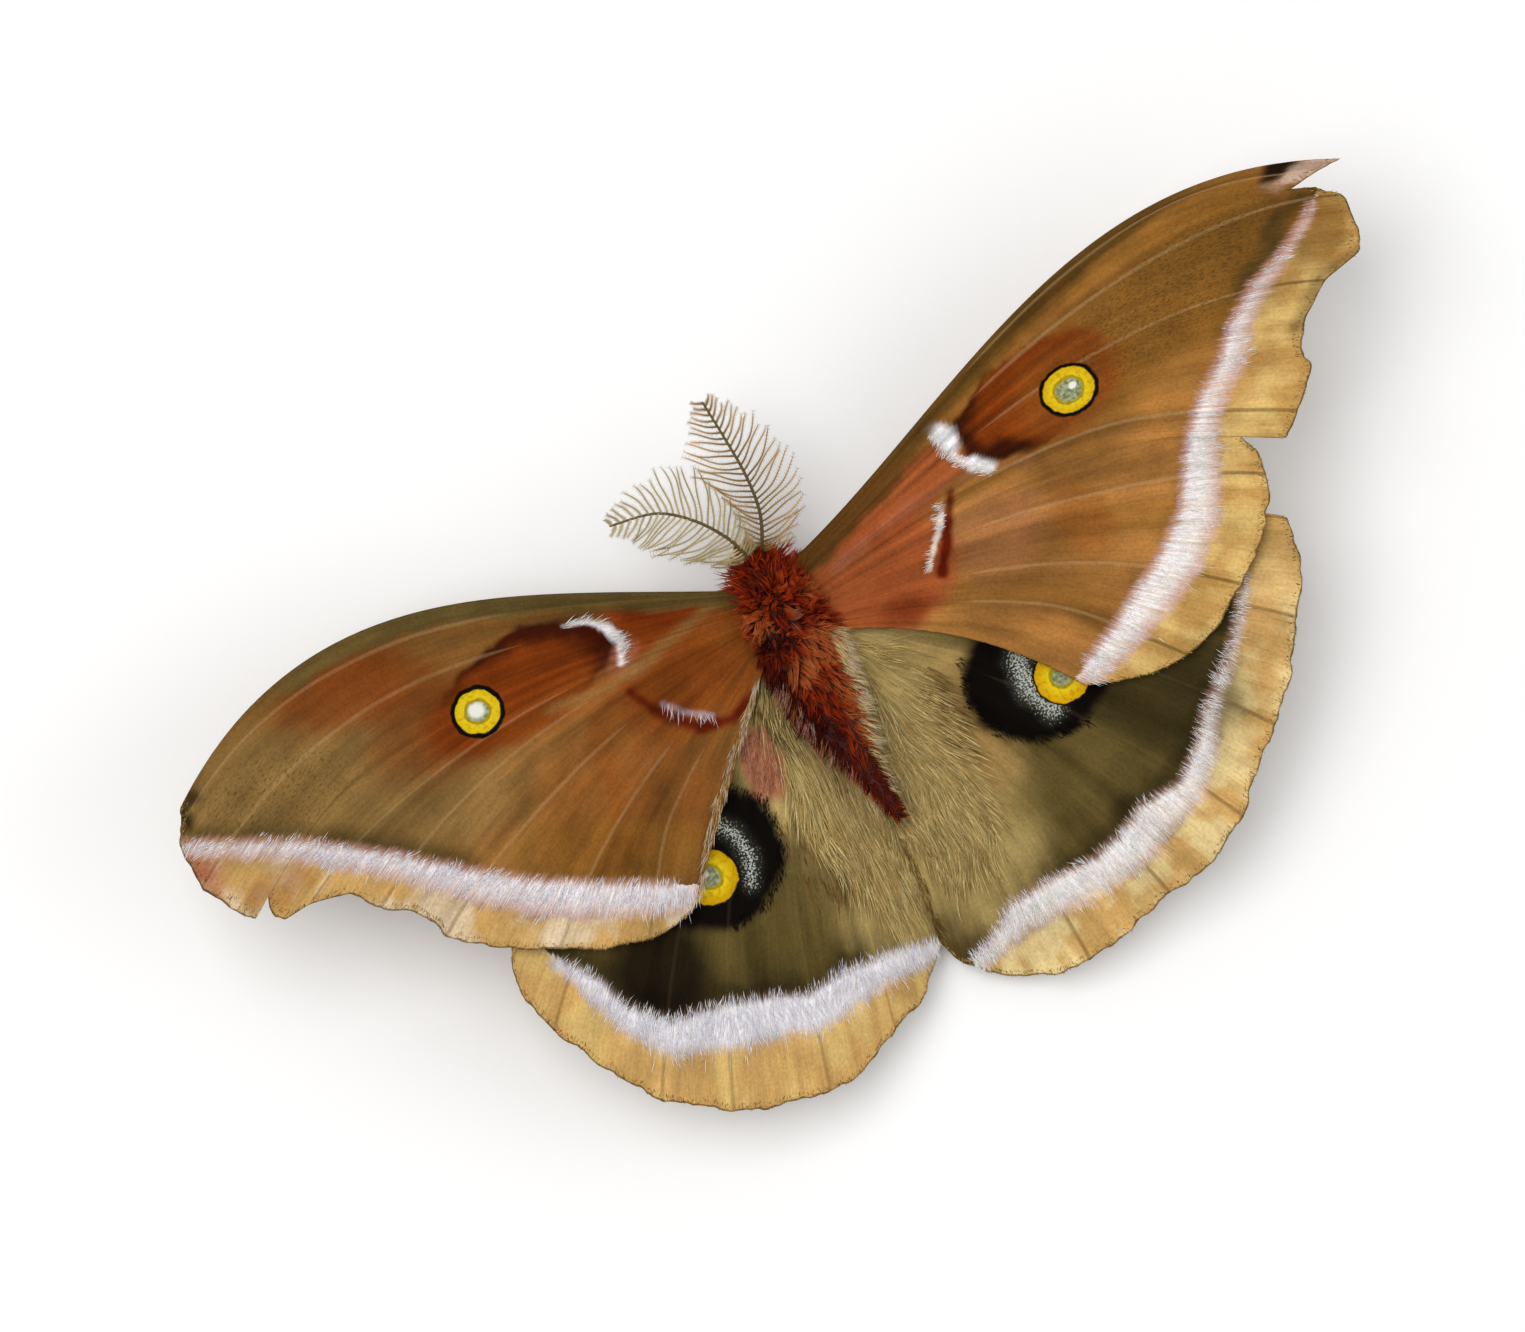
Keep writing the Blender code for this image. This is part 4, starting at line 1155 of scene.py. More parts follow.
@dataclass
class Wing:
    """One wing with its scales, markings and longer hairs, laid out in picture millimetres.

    band is the pale band's inner edge from the front to the rear, as (out, f, width). costa is the
    width of the dark leading edge. shade is the darkness along the band's inner side, as (share of
    the band, depth, strength). The streak tone runs in a fan along the rays.
    """

    shape: WingShape
    finish: WingFinish
    base: Tone
    marks: tuple[Spot | Stroke, ...]
    band: Points
    hairs: tuple[HairPatch, ...]
    costa: tuple[float, Tone]
    shade: tuple[Points, Tone]
    frost: tuple[Spot | Stroke, ...]
    margin_tones: tuple[Tone, Tone]
    band_tone: Tone
    streak_tone: Tone
    seed: int

    COLUMNS = 200
    ROWS = 150
    VEIN_COLUMNS = 5
    VEIN_REACH = 0.0075
    TRIES = 60000
    RIM = (0.982, 0.998)
    INNER_RIM = (0.965, 0.998)
    INNER_RIM_LENGTH = (0.1, 0.97)
    UNDER_TONE = Tone.PEWTER
    UNDER_BLEND = 0.55
    UNDER_BAND_SHIFT = 0.8
    UNDER_SPECKLE = 0.4

    def columns(self) -> Array:
        """u of the grid's columns: even, with a few more close to each vein."""
        close = np.linspace(-self.VEIN_REACH, self.VEIN_REACH, self.VEIN_COLUMNS)
        extra = (self.shape.veins[:, None] + close).ravel()
        return np.unique(np.clip(np.concatenate((np.linspace(0.0, 1.0, self.COLUMNS), extra)), 0.0, 1.0))

    def band_fields(self, seen: Array) -> tuple[Array, Array, Array]:
        """Millimetres past the band's inner edge, those short of its outer edge, and the share along it."""
        line = np.array(self.band)
        inside, share = line_distance(seen, line[:, :2])
        width = np.interp(share * (len(line) - 1), np.arange(len(line)), line[:, 2])
        return inside, width - inside, share

    def ground(self, seen: Array, rays: Array, costa: Array) -> Array:
        """The washes of colour under the fine scales.

        Each wash is mixed over the last one by its mask: streaks over the base, the margin beyond
        the band, the band, the shade on its inner side, the marks, and the leading edge. The whole
        is then made uneven by a fan along the rays, half as strong beyond the band, and by clouds.
        """
        fray = 0.22 * mottle(seen, 1.6, self.seed) + 0.25 * mottle(seen, 4.2, self.seed + 1)
        fan = mottle(rays * (34.0, 2.2), 1.0, self.seed + 4)
        wide_fan = mottle(rays * (15.0, 1.6), 1.0, self.seed + 6)
        inside, outside, share = self.band_fields(seen)
        stops, tone = np.array(self.shade[0]), self.shade[1]
        depth = np.interp(share, stops[:, 0], stops[:, 1])
        strength = np.interp(share, stops[:, 0], stops[:, 2])
        first, second = (each.light for each in self.margin_tones)
        cloud = smooth_step(0.6 * fan + 0.8 * mottle(seen, 3.0, self.seed + 2), -0.6, 0.6)[..., None]
        layers = [
            (0.55 * smooth_step(wide_fan, 0.0, 0.7), self.streak_tone.light),
            (smooth_step(outside + 1.6 * fray, 0.8, -0.6), first * (1.0 - cloud) + second * cloud),
            (
                0.8 * smooth_step(inside + fray, -0.4, 0.8) * smooth_step(outside + fray, -0.8, 1.0),
                self.band_tone.light,
            ),
            (
                strength * smooth_step(inside + 2.0 * fray, -depth, -0.2 * depth)
                * smooth_step(inside + fray, 0.6, -0.3),
                tone.light,
            ),
        ]
        layers += [(mark.mask(seen, fray), mark.tone.light) for mark in self.marks]
        lead = smooth_step(costa + 0.8 * fray, self.costa[0], 0.55 * self.costa[0])
        layers.append((0.9 * lead * smooth_step(rays[..., 1], 0.93, 0.72), self.costa[1].light))
        colour = np.broadcast_to(self.base.light, (*seen.shape[:-1], 3))
        for mask, light in layers:
            mask = np.clip(mask, 0.0, 1.0)[..., None]
            colour = colour * (1.0 - mask) + light * mask
        calm = 1.0 - 0.5 * smooth_step(outside, 0.5, -0.5)
        uneven = 1.0 + 0.2 * fan * calm + 0.1 * mottle(seen, 3.0, self.seed + 3)
        return np.clip(colour * uneven[..., None], 0.0, 1.0)

    def build(self, groups: dict[str, Tree]) -> None:
        """Makes the membrane and the hairs."""
        shape = self.shape
        u, v = np.meshgrid(self.columns(), np.linspace(0.0, 1.0, self.ROWS))
        upper, lower = shape.faces(u, v)
        points, faces = slab(upper, lower)
        seen = shape.seen(upper)
        plan = shape.plan(u, v)
        edge = np.linalg.norm(plan - shape.plan(u, np.ones_like(v)), axis=-1)
        costa = np.linalg.norm(plan - shape.plan(np.zeros_like(u), v), axis=-1)
        rear = np.linalg.norm(plan - shape.plan(np.ones_like(u), v), axis=-1)
        inside, outside, _ = self.band_fields(seen)
        rays = np.stack((u, v), -1)
        top = self.ground(seen, rays, costa)
        speckle = np.max([spot.mask(seen, 0.0 * u) for spot in self.frost], axis=0)
        blend = self.UNDER_BLEND + 0.12 * mottle(seen, 5.0, self.seed + 5)
        below = top * (1.0 - blend[..., None]) + self.UNDER_TONE.light * blend[..., None]
        surface = Surface(
            points,
            faces,
            {"ground": np.concatenate((top.reshape(-1, 3), below.reshape(-1, 3)))},
            {
                "edge": np.tile(np.minimum(np.minimum(edge, costa + 0.1), rear + 0.15).ravel(), 2),
                "vein": np.tile((shape.vein_distance(u, v) + smooth_step(v, 0.45, 0.2)).ravel(), 2),
                "inside": np.concatenate((inside.ravel(), inside.ravel() - self.UNDER_BAND_SHIFT)),
                "outside": np.concatenate((outside.ravel(), outside.ravel() - self.UNDER_BAND_SHIFT)),
                "speckle": np.concatenate((speckle.ravel(), speckle.ravel() * self.UNDER_SPECKLE)),
            },
            {
                "rays": np.tile(rays.reshape(-1, 2), (2, 1)),
                "spread": np.tile(seen.reshape(-1, 2) / 100.0, (2, 1)),
            },
        )
        slot = f"{shape.kind.value}_scales"
        surface.piece(shape.name, self.finish.material(groups), slot, shape.name)
        coat = FurFinish(f"{shape.name}_hair", 0.8, 0.06, 0.3).material()
        rng = np.random.default_rng(self.seed + 40)
        tufts = [self.patch(hair, rng) for hair in self.hairs]
        merged(tufts).piece(f"{shape.name}_hair", coat, slot)

    def roots(self, hair: HairPatch, rng: Random) -> tuple[Array, Array]:
        """Random u and v inside a patch, drawn over the whole wing and kept by the patch's mask."""
        if hair.zone is Zone.MARGIN:
            return rng.uniform(0.0, 1.0, hair.count), rng.uniform(*self.RIM, hair.count)
        if hair.zone is Zone.INNER_EDGE:
            u = rng.uniform(*self.INNER_RIM, hair.count)
            return u, rng.uniform(*self.INNER_RIM_LENGTH, hair.count)
        tries = self.TRIES
        u = rng.uniform(0.01, 0.99, tries)
        v = np.sqrt(rng.uniform(0.0, 0.98, tries))
        seen = self.shape.seen(self.shape.faces(u, v)[0])
        fray = 0.3 * mottle(seen, 1.2, self.seed + 7)
        inside, outside, _ = self.band_fields(seen)
        if hair.zone is Zone.AREA:
            mask = hair.area.mask(seen, fray)
        elif hair.zone is Zone.BAND:
            reach = inside + 0.6 * outside
            near = smooth_step(inside + fray, -0.3, 0.4)
            mask = near * smooth_step(outside + fray, -0.4 * reach, 1.2 * reach)
        else:
            mask = smooth_step(inside + fray, -0.5, 0.1) * smooth_step(inside, 0.9, 0.3)
        kept = np.flatnonzero(rng.uniform(0.0, 1.0, tries) < mask)[: hair.count]
        return u[kept], v[kept]

    def patch(self, hair: HairPatch, rng: Random) -> Surface:
        """The tufts of one patch, lying along the wing's rays."""
        u, v = self.roots(hair, rng)
        count = len(u)
        step = 0.004
        here = self.shape.faces(u, v)[0]
        along = unit(self.shape.faces(u, v + step)[0] - here)
        aside = self.shape.faces(u + step, v)[0] - here
        normals = unit(np.cross(aside, along))
        normals *= np.sign(normals[:, 2:])
        across = unit(np.cross(normals, along)) * self.shape.side.value
        angle = math.radians(hair.turn) + rng.normal(0.0, hair.scatter, count)
        angle = angle + 0.35 * mottle(here, 3.0, self.seed + 9)
        lie = along * np.cos(angle)[:, None] + across * np.sin(angle)[:, None]
        return Hair(
            roots=here,
            normals=normals,
            lie=lie + normals * 0.06,
            lengths=rng.uniform(*hair.lengths, count),
            width=hair.width,
            root_colours=toned(rng, hair.roots, count),
            tip_colours=toned(rng, hair.tips, count),
            chart=on_chart(np.stack((u, v), -1)),
            lift=hair.lift,
            flatness=0.35,
            sink=0.05,
        ).surface(rng)


@dataclass
class FurZone:
    """Fur on part of the body.

    lie is a fixed direction (x, f, z), and spray how much each tuft leans outwards as well. Clumps
    are the number of points that the tufts gather towards, and tousle is how far each clump leans
    in a direction of its own.
    """

    name: str
    count: int
    along: Pair
    lengths: Pair
    width: float
    lie: Triple
    spray: float
    roots: Tones
    tips: Tones
    clumps: int = 120
    gather: float = 0.5
    lift: float = 0.55
    turns: Pair = (0.0, 1.0)
    tousle: float = 0.0


# Dark red at the tufts' roots. It is partly the fur's own dark red and partly painted shade deep in the coat,
# so the roots are darker than the tips.
SHADED_RED_ROOTS = (Tone.BLOOD, Tone.RED_BROWN)
RED_TIPS = (Tone.RED_BROWN, Tone.EMBER, Tone.EMBER, Tone.FOX)


@dataclass
class Body:
    """Head, thorax and abdomen under one skin, with its fur, eyes and palps."""

    head_middle: Triple = (0.5, 6.3, 7.4)
    eye_radius: float = 1.15
    eye_out: float = 1.6
    eye_forward: float = 0.3
    eye_down: float = 0.35
    palp_knots: Points = (
        (0.5, 1.0, 1.4, 0.32), (0.55, 1.9, 1.7, 0.36), (0.58, 2.5, 1.4, 0.36), (0.58, 2.9, 0.8, 0.26)
    )
    profile: Points = (
        (7.95, 0.5, 7.4, 0.9, 0.9),
        (7.2, 0.5, 7.4, 1.75, 1.7),
        (6.3, 0.5, 7.4, 2.05, 1.95),
        (5.4, 0.6, 7.45, 1.85, 1.8),
        (4.7, 0.75, 7.7, 2.1, 2.1),
        (3.8, 0.95, 8.1, 2.95, 2.8),
        (2.4, 1.1, 8.25, 3.55, 3.3),
        (0.2, 1.1, 8.3, 3.75, 3.45),
        (-2.2, 1.1, 8.2, 4.0, 3.2),
        (-4.0, 1.15, 7.95, 3.7, 2.8),
        (-5.0, 1.2, 7.75, 3.45, 2.7),
        (-6.4, 1.2, 7.6, 3.3, 2.9),
        (-8.5, 1.15, 7.3, 3.05, 2.75),
        (-10.0, 1.1, 7.1, 2.7, 2.45),
        (-13.5, 0.9, 6.7, 1.75, 1.75),
        (-17.0, 0.5, 6.3, 1.15, 1.15),
        (-20.0, 0.1, 6.0, 0.75, 0.75),
        (-22.5, -0.3, 5.8, 0.3, 0.3),
    )
    segment_from: float = -7.0
    segment_length: float = 2.1
    segment_depth: float = 0.14
    rings: int = 230
    sides: int = 120
    seed: int = 21
    # Painted light in the fur, laid over its own dark red mottling. The maroon patches, most of them down the
    # moth's left flank, are painted shade. The flame patches and the salmon one on top are painted
    # highlights.
    marks: tuple[Spot, ...] = (
        Spot((2.6, -0.6), (1.0, 0.9), Tone.MAROON, 0.95),
        Spot((4.5, -5.0), (1.5, 2.8), Tone.MAROON, 0.95),
        Spot((3.1, -11.0), (1.3, 4.6), Tone.MAROON, 0.95, 0.5, -12.0),
        Spot((1.4, 4.2), (1.0, 0.8), Tone.MAROON, 0.7),
        Spot((-0.8, -3.2), (1.2, 2.4), Tone.FLAME, 0.75),
        Spot((3.4, 1.6), (1.0, 1.2), Tone.FLAME, 0.6),
        Spot((1.9, -4.6), (1.0, 1.2), Tone.FLAME, 0.7),
        Spot((-2.6, 2.4), (1.0, 1.0), Tone.FLAME, 0.5),
        Spot((-0.6, -10.0), (0.9, 3.6), Tone.FLAME, 0.6),
        Spot((0.3, 1.0), (0.6, 1.1), Tone.SALMON, 0.9),
        Spot((0.2, -19.5), (1.6, 4.4), Tone.MAROON, 0.8),
    )
    zones: tuple[FurZone, ...] = (
        FurZone(
            "head_fur", 2400, (0.0, 0.22), (0.7, 1.6), 0.12, (0.0, 0.6, 0.2), 1.0,
            SHADED_RED_ROOTS, (Tone.RED_BROWN, Tone.EMBER, Tone.BLOOD), 150, 0.6, 0.7, tousle=0.35,
        ),
        FurZone(
            "thorax_fur", 10500, (0.2, 0.47), (1.0, 1.9), 0.14, (0.0, -0.4, 0.0), 0.8,
            SHADED_RED_ROOTS, (*RED_TIPS, Tone.BLOOD), 640, 0.75, 0.75, tousle=0.85,
        ),
        FurZone(
            "collar_spikes", 320, (0.08, 0.32), (2.0, 3.0), 0.24, (0.0, 0.45, 0.0), 1.1,
            (Tone.BLOOD,), (Tone.RED_BROWN, Tone.EMBER), 60, 0.0, 0.9, (-0.08, 0.58), 0.3,
        ),
        FurZone(
            "abdomen_fur", 6800, (0.45, 1.0), (1.0, 2.0), 0.13, (0.0, -1.0, 0.0), 0.5,
            SHADED_RED_ROOTS, RED_TIPS, 380, 0.65, tousle=0.4,
        ),
        FurZone(
            "near_flank_fur", 420, (0.55, 0.97), (1.3, 2.6), 0.05, (0.0, -0.8, 0.0), 0.9,
            (Tone.RED_BROWN, Tone.FOX), (Tone.HAIR_CREAM, Tone.FOX, Tone.OCHRE, Tone.HAIR_PINK), 160, 0.3,
            0.5, (0.95, 1.12), 0.2,
        ),
        FurZone(
            "far_flank_fur", 1300, (0.46, 0.93), (1.4, 2.8), 0.08, (0.0, -0.9, 0.0), 0.8,
            (Tone.OCHRE, Tone.HAIR_TAN), (Tone.HAIR_CREAM, Tone.HAIR_STRAW, Tone.HAIR_TAN), 120, 0.3, 0.5,
            (0.38, 0.52), 0.2,
        ),
    )

    def line(self, along: Array) -> Array:
        """The profile's rows at shares of the way along the body, smoothly joined."""
        fine = smooth_line(self.profile, 400)
        return interpolated(along, np.linspace(0.0, 1.0, len(fine)), fine)

    def skin(self, turn: Array, along: Array) -> Array:
        """Points of the skin: middle + width * cos(turn) sideways + height * sin(turn) up.

        Behind segment_from, rings swell between the segments' grooves by segment_depth.

        Args:
            turn: 0 at the moth's left, a quarter on top, as a share of a whole turn.
            along: 0 at the face to 1 at the tail.

        Returns:
            Moth places.
        """
        f, x, z, width, height = np.moveaxis(self.line(along), -1, 0)
        behind = np.maximum(self.segment_from - f, 0.0)
        swell = self.segment_depth * np.sin(math.pi * behind / self.segment_length) ** 2
        swell = (swell - self.segment_depth * smooth_step(behind, 0.0, 0.5)) * np.minimum(width, 1.0)
        angle = 2.0 * math.pi * turn
        return np.stack(
            (x + (width + swell) * np.cos(angle), f, z + (height + swell) * np.sin(angle)), -1
        )

    def build(self) -> None:
        """Makes the skin, the fur zones, the eyes and the palps."""
        turn, along = np.meshgrid(
            np.arange(self.sides) / self.sides, np.linspace(0.0, 1.0, self.rings)
        )
        grid = self.skin(turn, along)
        points, faces = ring_skin(grid, grid[0].mean(axis=0), grid[-1].mean(axis=0))
        tint = np.broadcast_to(Tone.BLOOD.light, points.shape)
        hide = SkinFinish("hide", 0.25).material()
        skin = Surface(points, faces, {"tint": tint})
        skin.piece("body_skin", hide, "body_fur", "head", "thorax", "abdomen")
        rng = np.random.default_rng(self.seed)
        coat = FurFinish("body_fur", 0.65, 0.15, 0.5).material()
        for zone in self.zones:
            self.fur(zone, rng).piece(zone.name, coat, "body_fur")
        self.eyes()
        self.palps(coat, rng)

    def fur(self, zone: FurZone, rng: Random) -> Surface:
        """One zone's tufts.

        Roots are drawn with a share proportional to the skin's width. Each tip is pulled a part of
        the way, gather, to the tip of the nearest clump.
        """
        tries = zone.count * 6
        along = rng.uniform(*zone.along, tries)
        turn = rng.uniform(*zone.turns, tries)
        width = self.line(along)[:, 3]
        kept = np.flatnonzero(rng.uniform(0.0, 3.8, tries) < width + 0.25)[: zone.count]
        along, turn = along[kept], turn[kept]
        count = len(kept)
        step = 0.002
        here = self.skin(turn, along)
        ahead = self.skin(turn, np.minimum(along + step, 1.0))
        ahead = ahead - self.skin(turn, np.maximum(along - step, 0.0))
        aside = self.skin(turn + step, along) - self.skin(turn - step, along)
        normals = unit(np.cross(ahead, aside))
        f, x, z = self.line(along)[:, :3].T
        outwards = unit(here - np.stack((x, f, z), -1))
        normals *= np.sign(np.einsum("ij,ij->i", normals, outwards))[:, None]
        flank = zone.spray * (1.0 - 0.5 * np.maximum(normals[:, 2:], 0.0))
        lie = unit(np.array(zone.lie) + normals * flank + rng.normal(0.0, 0.16, (count, 3)))
        lengths = rng.uniform(*zone.lengths, count) * np.clip(0.35 + width[kept] / 2.4, 0.5, 1.1)
        seeds = rng.choice(count, zone.clumps, replace=False)
        nearest = np.argmin(np.linalg.norm(here[:, None] - here[seeds][None], axis=-1), axis=1)
        lean = rng.normal(0.0, zone.tousle, (zone.clumps, 3))
        lean -= normals[seeds] * np.minimum(np.einsum("ij,ij->i", lean, normals[seeds]), 0.0)[:, None]
        tips = here + unit(lie + lean[nearest]) * lengths[:, None]
        clump_tips = tips[seeds][nearest]
        tips = tips * (1.0 - zone.gather) + clump_tips * zone.gather
        lie = unit(tips - here)
        seen = seen_place(here, Side.LEFT)
        fray = 0.35 * mottle(seen, 1.6, 31)
        root_colours = toned(rng, zone.roots, count)
        clump_colours = toned(rng, zone.tips, zone.clumps)[nearest]
        tip_colours = clump_colours * 0.6 + toned(rng, zone.tips, count) * 0.4
        # The body's marks tint the tips, and the roots less, on the upper side. They are painted shade and
        # painted highlights among the fur's own mottling.
        if "flank" not in zone.name:
            for mark in self.marks:
                mask = (mark.mask(seen, fray) * (normals[:, 2] > -0.2))[:, None]
                tip_colours = tip_colours * (1.0 - mask) + mark.tone.light * mask
                root_colours = root_colours * (1.0 - 0.6 * mask) + mark.tone.light * 0.6 * mask
        chart = on_chart(np.stack((turn % 1.0, along), -1))
        return Hair(
            here, normals, lie, lengths, zone.width, root_colours, tip_colours, chart, zone.lift
        ).surface(rng)

    def eyes(self) -> None:
        """Two balls with latitude rings, half sunk in the fur."""
        finish = EyeFinish().material()
        x, f, z = self.head_middle
        for side in Side:
            tilt = np.linspace(0.0, math.pi, 34)[1:-1, None]
            turn = 2.0 * math.pi * np.arange(48) / 48
            middle = np.array((x + side.value * self.eye_out, f + self.eye_forward, z - self.eye_down))
            grid = np.stack(
                (np.sin(tilt) * np.cos(turn), np.sin(tilt) * np.sin(turn), np.cos(tilt) + 0.0 * turn), -1
            )
            pole = np.array((0.0, 0.0, self.eye_radius))
            points, faces = ring_skin(middle + grid * self.eye_radius, middle + pole, middle - pole)
            Surface(points, faces).piece(f"eye_{side.word}", finish, "eye", f"eye_{side.word}")

    def palps(self, coat: Material, rng: Random) -> None:
        """The two furred palps curving up under the face."""
        x, f, z = self.head_middle
        for side in Side:
            knots = tuple(
                (x + side.value * out, f + ahead, z - down, radius)
                for out, ahead, down, radius in self.palp_knots
            )
            limb = Limb(knots, Tone.BLOOD)
            palp = merged([limb.tube(24, 14), limb.fur(rng, 260, (0.3, 0.8), 0.07, (Tone.BLOOD, Tone.FOX))])
            palp.piece(f"palp_{side.word}", coat, "body_fur", f"palp_{side.word}")


@dataclass
class Limb:
    """A tapered, bent tube through knots (x, f, z, radius), and the fur on it."""

    knots: Points
    tone: Tone
    floor: float = -1.0

    ASKEW = (0.31, 0.25, 0.9)
    NEAR_FLOOR = 0.6
    LEAST_TUFT = 0.05

    def frame(self, share: Array) -> tuple[Array, Array, Array, Array]:
        """Middle, direction, sideways and radius at shares of the length."""
        fine = smooth_line(self.knots, 300)
        steps = np.linspace(0.0, 1.0, len(fine))
        middle, radius = interpolated(share, steps, fine[:, :3]), np.interp(share, steps, fine[:, 3])
        along = unit(interpolated(share, steps, unit(np.gradient(fine[:, :3], axis=0))))
        return middle, along, unit(np.cross(along, self.ASKEW)), radius

    def skin(self, share: Array, turn: Array) -> tuple[Array, Array, Array]:
        """Places, outward directions and the limb's direction: middle + radius around it."""
        middle, along, side, radius = self.frame(share)
        top = np.cross(side, along)
        angle = (2.0 * math.pi * turn)[..., None]
        outwards = side * np.cos(angle) + top * np.sin(angle)
        points = middle + outwards * radius[..., None]
        points[..., 2] = np.maximum(points[..., 2], self.floor)
        return points, outwards, along

    def tube(self, rings: int, sides: int) -> Surface:
        """The bare limb, with a map so that it can be joined to its fur."""
        turn, share = np.meshgrid(np.arange(sides) / sides, np.linspace(0.0, 1.0, rings))
        grid = self.skin(share, turn)[0]
        middle = self.frame(np.array([0.0, 1.0]))[0]
        middle[:, 2] = np.maximum(middle[:, 2], self.floor)
        points, faces = ring_skin(grid, middle[0], middle[1])
        flat = np.concatenate((np.stack((turn, share), -1).reshape(-1, 2), [[0.5, 0.0], [0.5, 1.0]]))
        tint = np.broadcast_to(self.tone.light, points.shape)
        return Surface(points, faces, {"tint": tint}, {}, {"OFBake": on_chart(flat)})

    def fur(
        self,
        rng: Random,
        count: int,
        lengths: Pair,
        width: float,
        tones: Tones,
        until: float = 1.0,
    ) -> Surface:
        """Tufts that lie towards the limb's end, shorter near it, and level with the floor close to it."""
        share = rng.uniform(0.02, until, count)
        turn = rng.uniform(0.0, 1.0, count)
        points, outwards, along = self.skin(share, turn)
        lie = unit(along + outwards * 0.55 + rng.normal(0.0, 0.2, (count, 3)))
        low = points[:, 2] < self.NEAR_FLOOR
        lie[low, 2] = np.maximum(lie[low, 2], 0.0)
        outwards[low, 2] = np.maximum(outwards[low, 2], 0.0)
        reach = rng.uniform(*lengths, count) * (1.0 - 0.5 * share / until)
        slant = -np.minimum(lie[:, 2], -1e-3)
        room = np.where(lie[:, 2] < 0.0, (points[:, 2] - self.LEAST_TUFT) / slant, math.inf)
        reach = np.maximum(np.minimum(reach, room), self.LEAST_TUFT)
        chart = on_chart(np.stack((turn, share), -1))
        return Hair(
            points, outwards, lie, reach, width, toned(rng, tones[:1], count), toned(rng, tones[1:], count),
            chart, 0.3, sink=0.05,
        ).surface(rng)


@dataclass
class Legs:
    """Six legs, each in joints (out from the thorax's middle, f, z, radius) from hip to toe."""

    middle_x: float = 1.1
    seed: int = 61
    front: Points = (
        (1.6, 3.4, 5.6, 0.85), (2.4, 4.0, 3.7, 0.8), (3.4, 4.5, 3.9, 0.8), (5.2, 5.1, 4.7, 0.55),
        (5.9, 4.8, 2.8, 0.55), (6.5, 4.5, 0.9, 0.4), (7.1, 4.5, 0.3, 0.32), (8.0, 4.6, 0.28, 0.3),
        (8.7, 4.7, 0.26, 0.24),
    )
    middle: Points = (
        (2.0, 0.7, 5.4, 0.85), (3.0, 0.6, 3.7, 0.8), (4.6, 0.8, 4.3, 0.8), (7.2, 1.1, 5.3, 0.55),
        (8.6, 0.7, 3.0, 0.55), (9.8, 0.3, 0.9, 0.4), (10.5, 0.0, 0.3, 0.32), (12.0, -0.5, 0.28, 0.3),
        (13.0, -0.8, 0.26, 0.24),
    )
    hind: Points = (
        (1.8, -1.9, 5.6, 0.85), (2.6, -2.6, 3.7, 0.8), (4.0, -3.8, 3.9, 0.8), (6.4, -5.6, 4.6, 0.55),
        (7.4, -7.6, 2.8, 0.55), (8.2, -9.4, 0.9, 0.4), (8.5, -10.2, 0.3, 0.32), (9.1, -12.2, 0.28, 0.3),
        (9.5, -13.4, 0.26, 0.24),
    )
    tones: Tones = (Tone.BLOOD, Tone.RED_BROWN, Tone.FOX, Tone.CHESTNUT)

    def build(self) -> None:
        """Makes each leg with its fur and a pair of claws."""
        coat = FurFinish("leg_fur", 0.7, 0.15, 0.4).material()
        rng = np.random.default_rng(self.seed)
        for pair, joints in (("front", self.front), ("middle", self.middle), ("hind", self.hind)):
            for side in Side:
                name = f"leg_{pair}_{side.word}"
                knots = tuple((self.middle_x + side.value * x, f, z, r) for x, f, z, r in joints)
                limb = Limb(knots, Tone.BLOOD, floor=0.0)
                fur = limb.fur(rng, 900, (0.7, 1.5), 0.1, self.tones, 0.8)
                merged([limb.tube(70, 16), fur, self.claws(limb)]).piece(name, coat, "leg_fur", name)

    def claws(self, limb: Limb) -> Surface:
        """Two hooks at the toe, curving forwards and down to the floor."""
        middle, along, side, _ = (row[0] for row in limb.frame(np.array([1.0])))
        t = np.linspace(0.0, 1.0, 7)[:, None]
        drop = np.array((0.0, 0.0, -1.0)) * (t**2) * 0.18
        paths = [middle + (along * t + side * way * t * (1.6 - t) * 0.8) * 0.4 + drop for way in (1, -1)]
        up = np.array([[0.0, 0.0, 1.0]] * 2)
        points, faces = strands(np.stack(paths), np.full((2, 6), 0.06), up, 1.0, 5)
        tint = np.broadcast_to(Tone.BLACK.light, points.shape)
        chart = np.full((len(points), 2), 0.985)
        return Surface(points, faces, {"tint": tint}, {}, {"OFBake": chart})


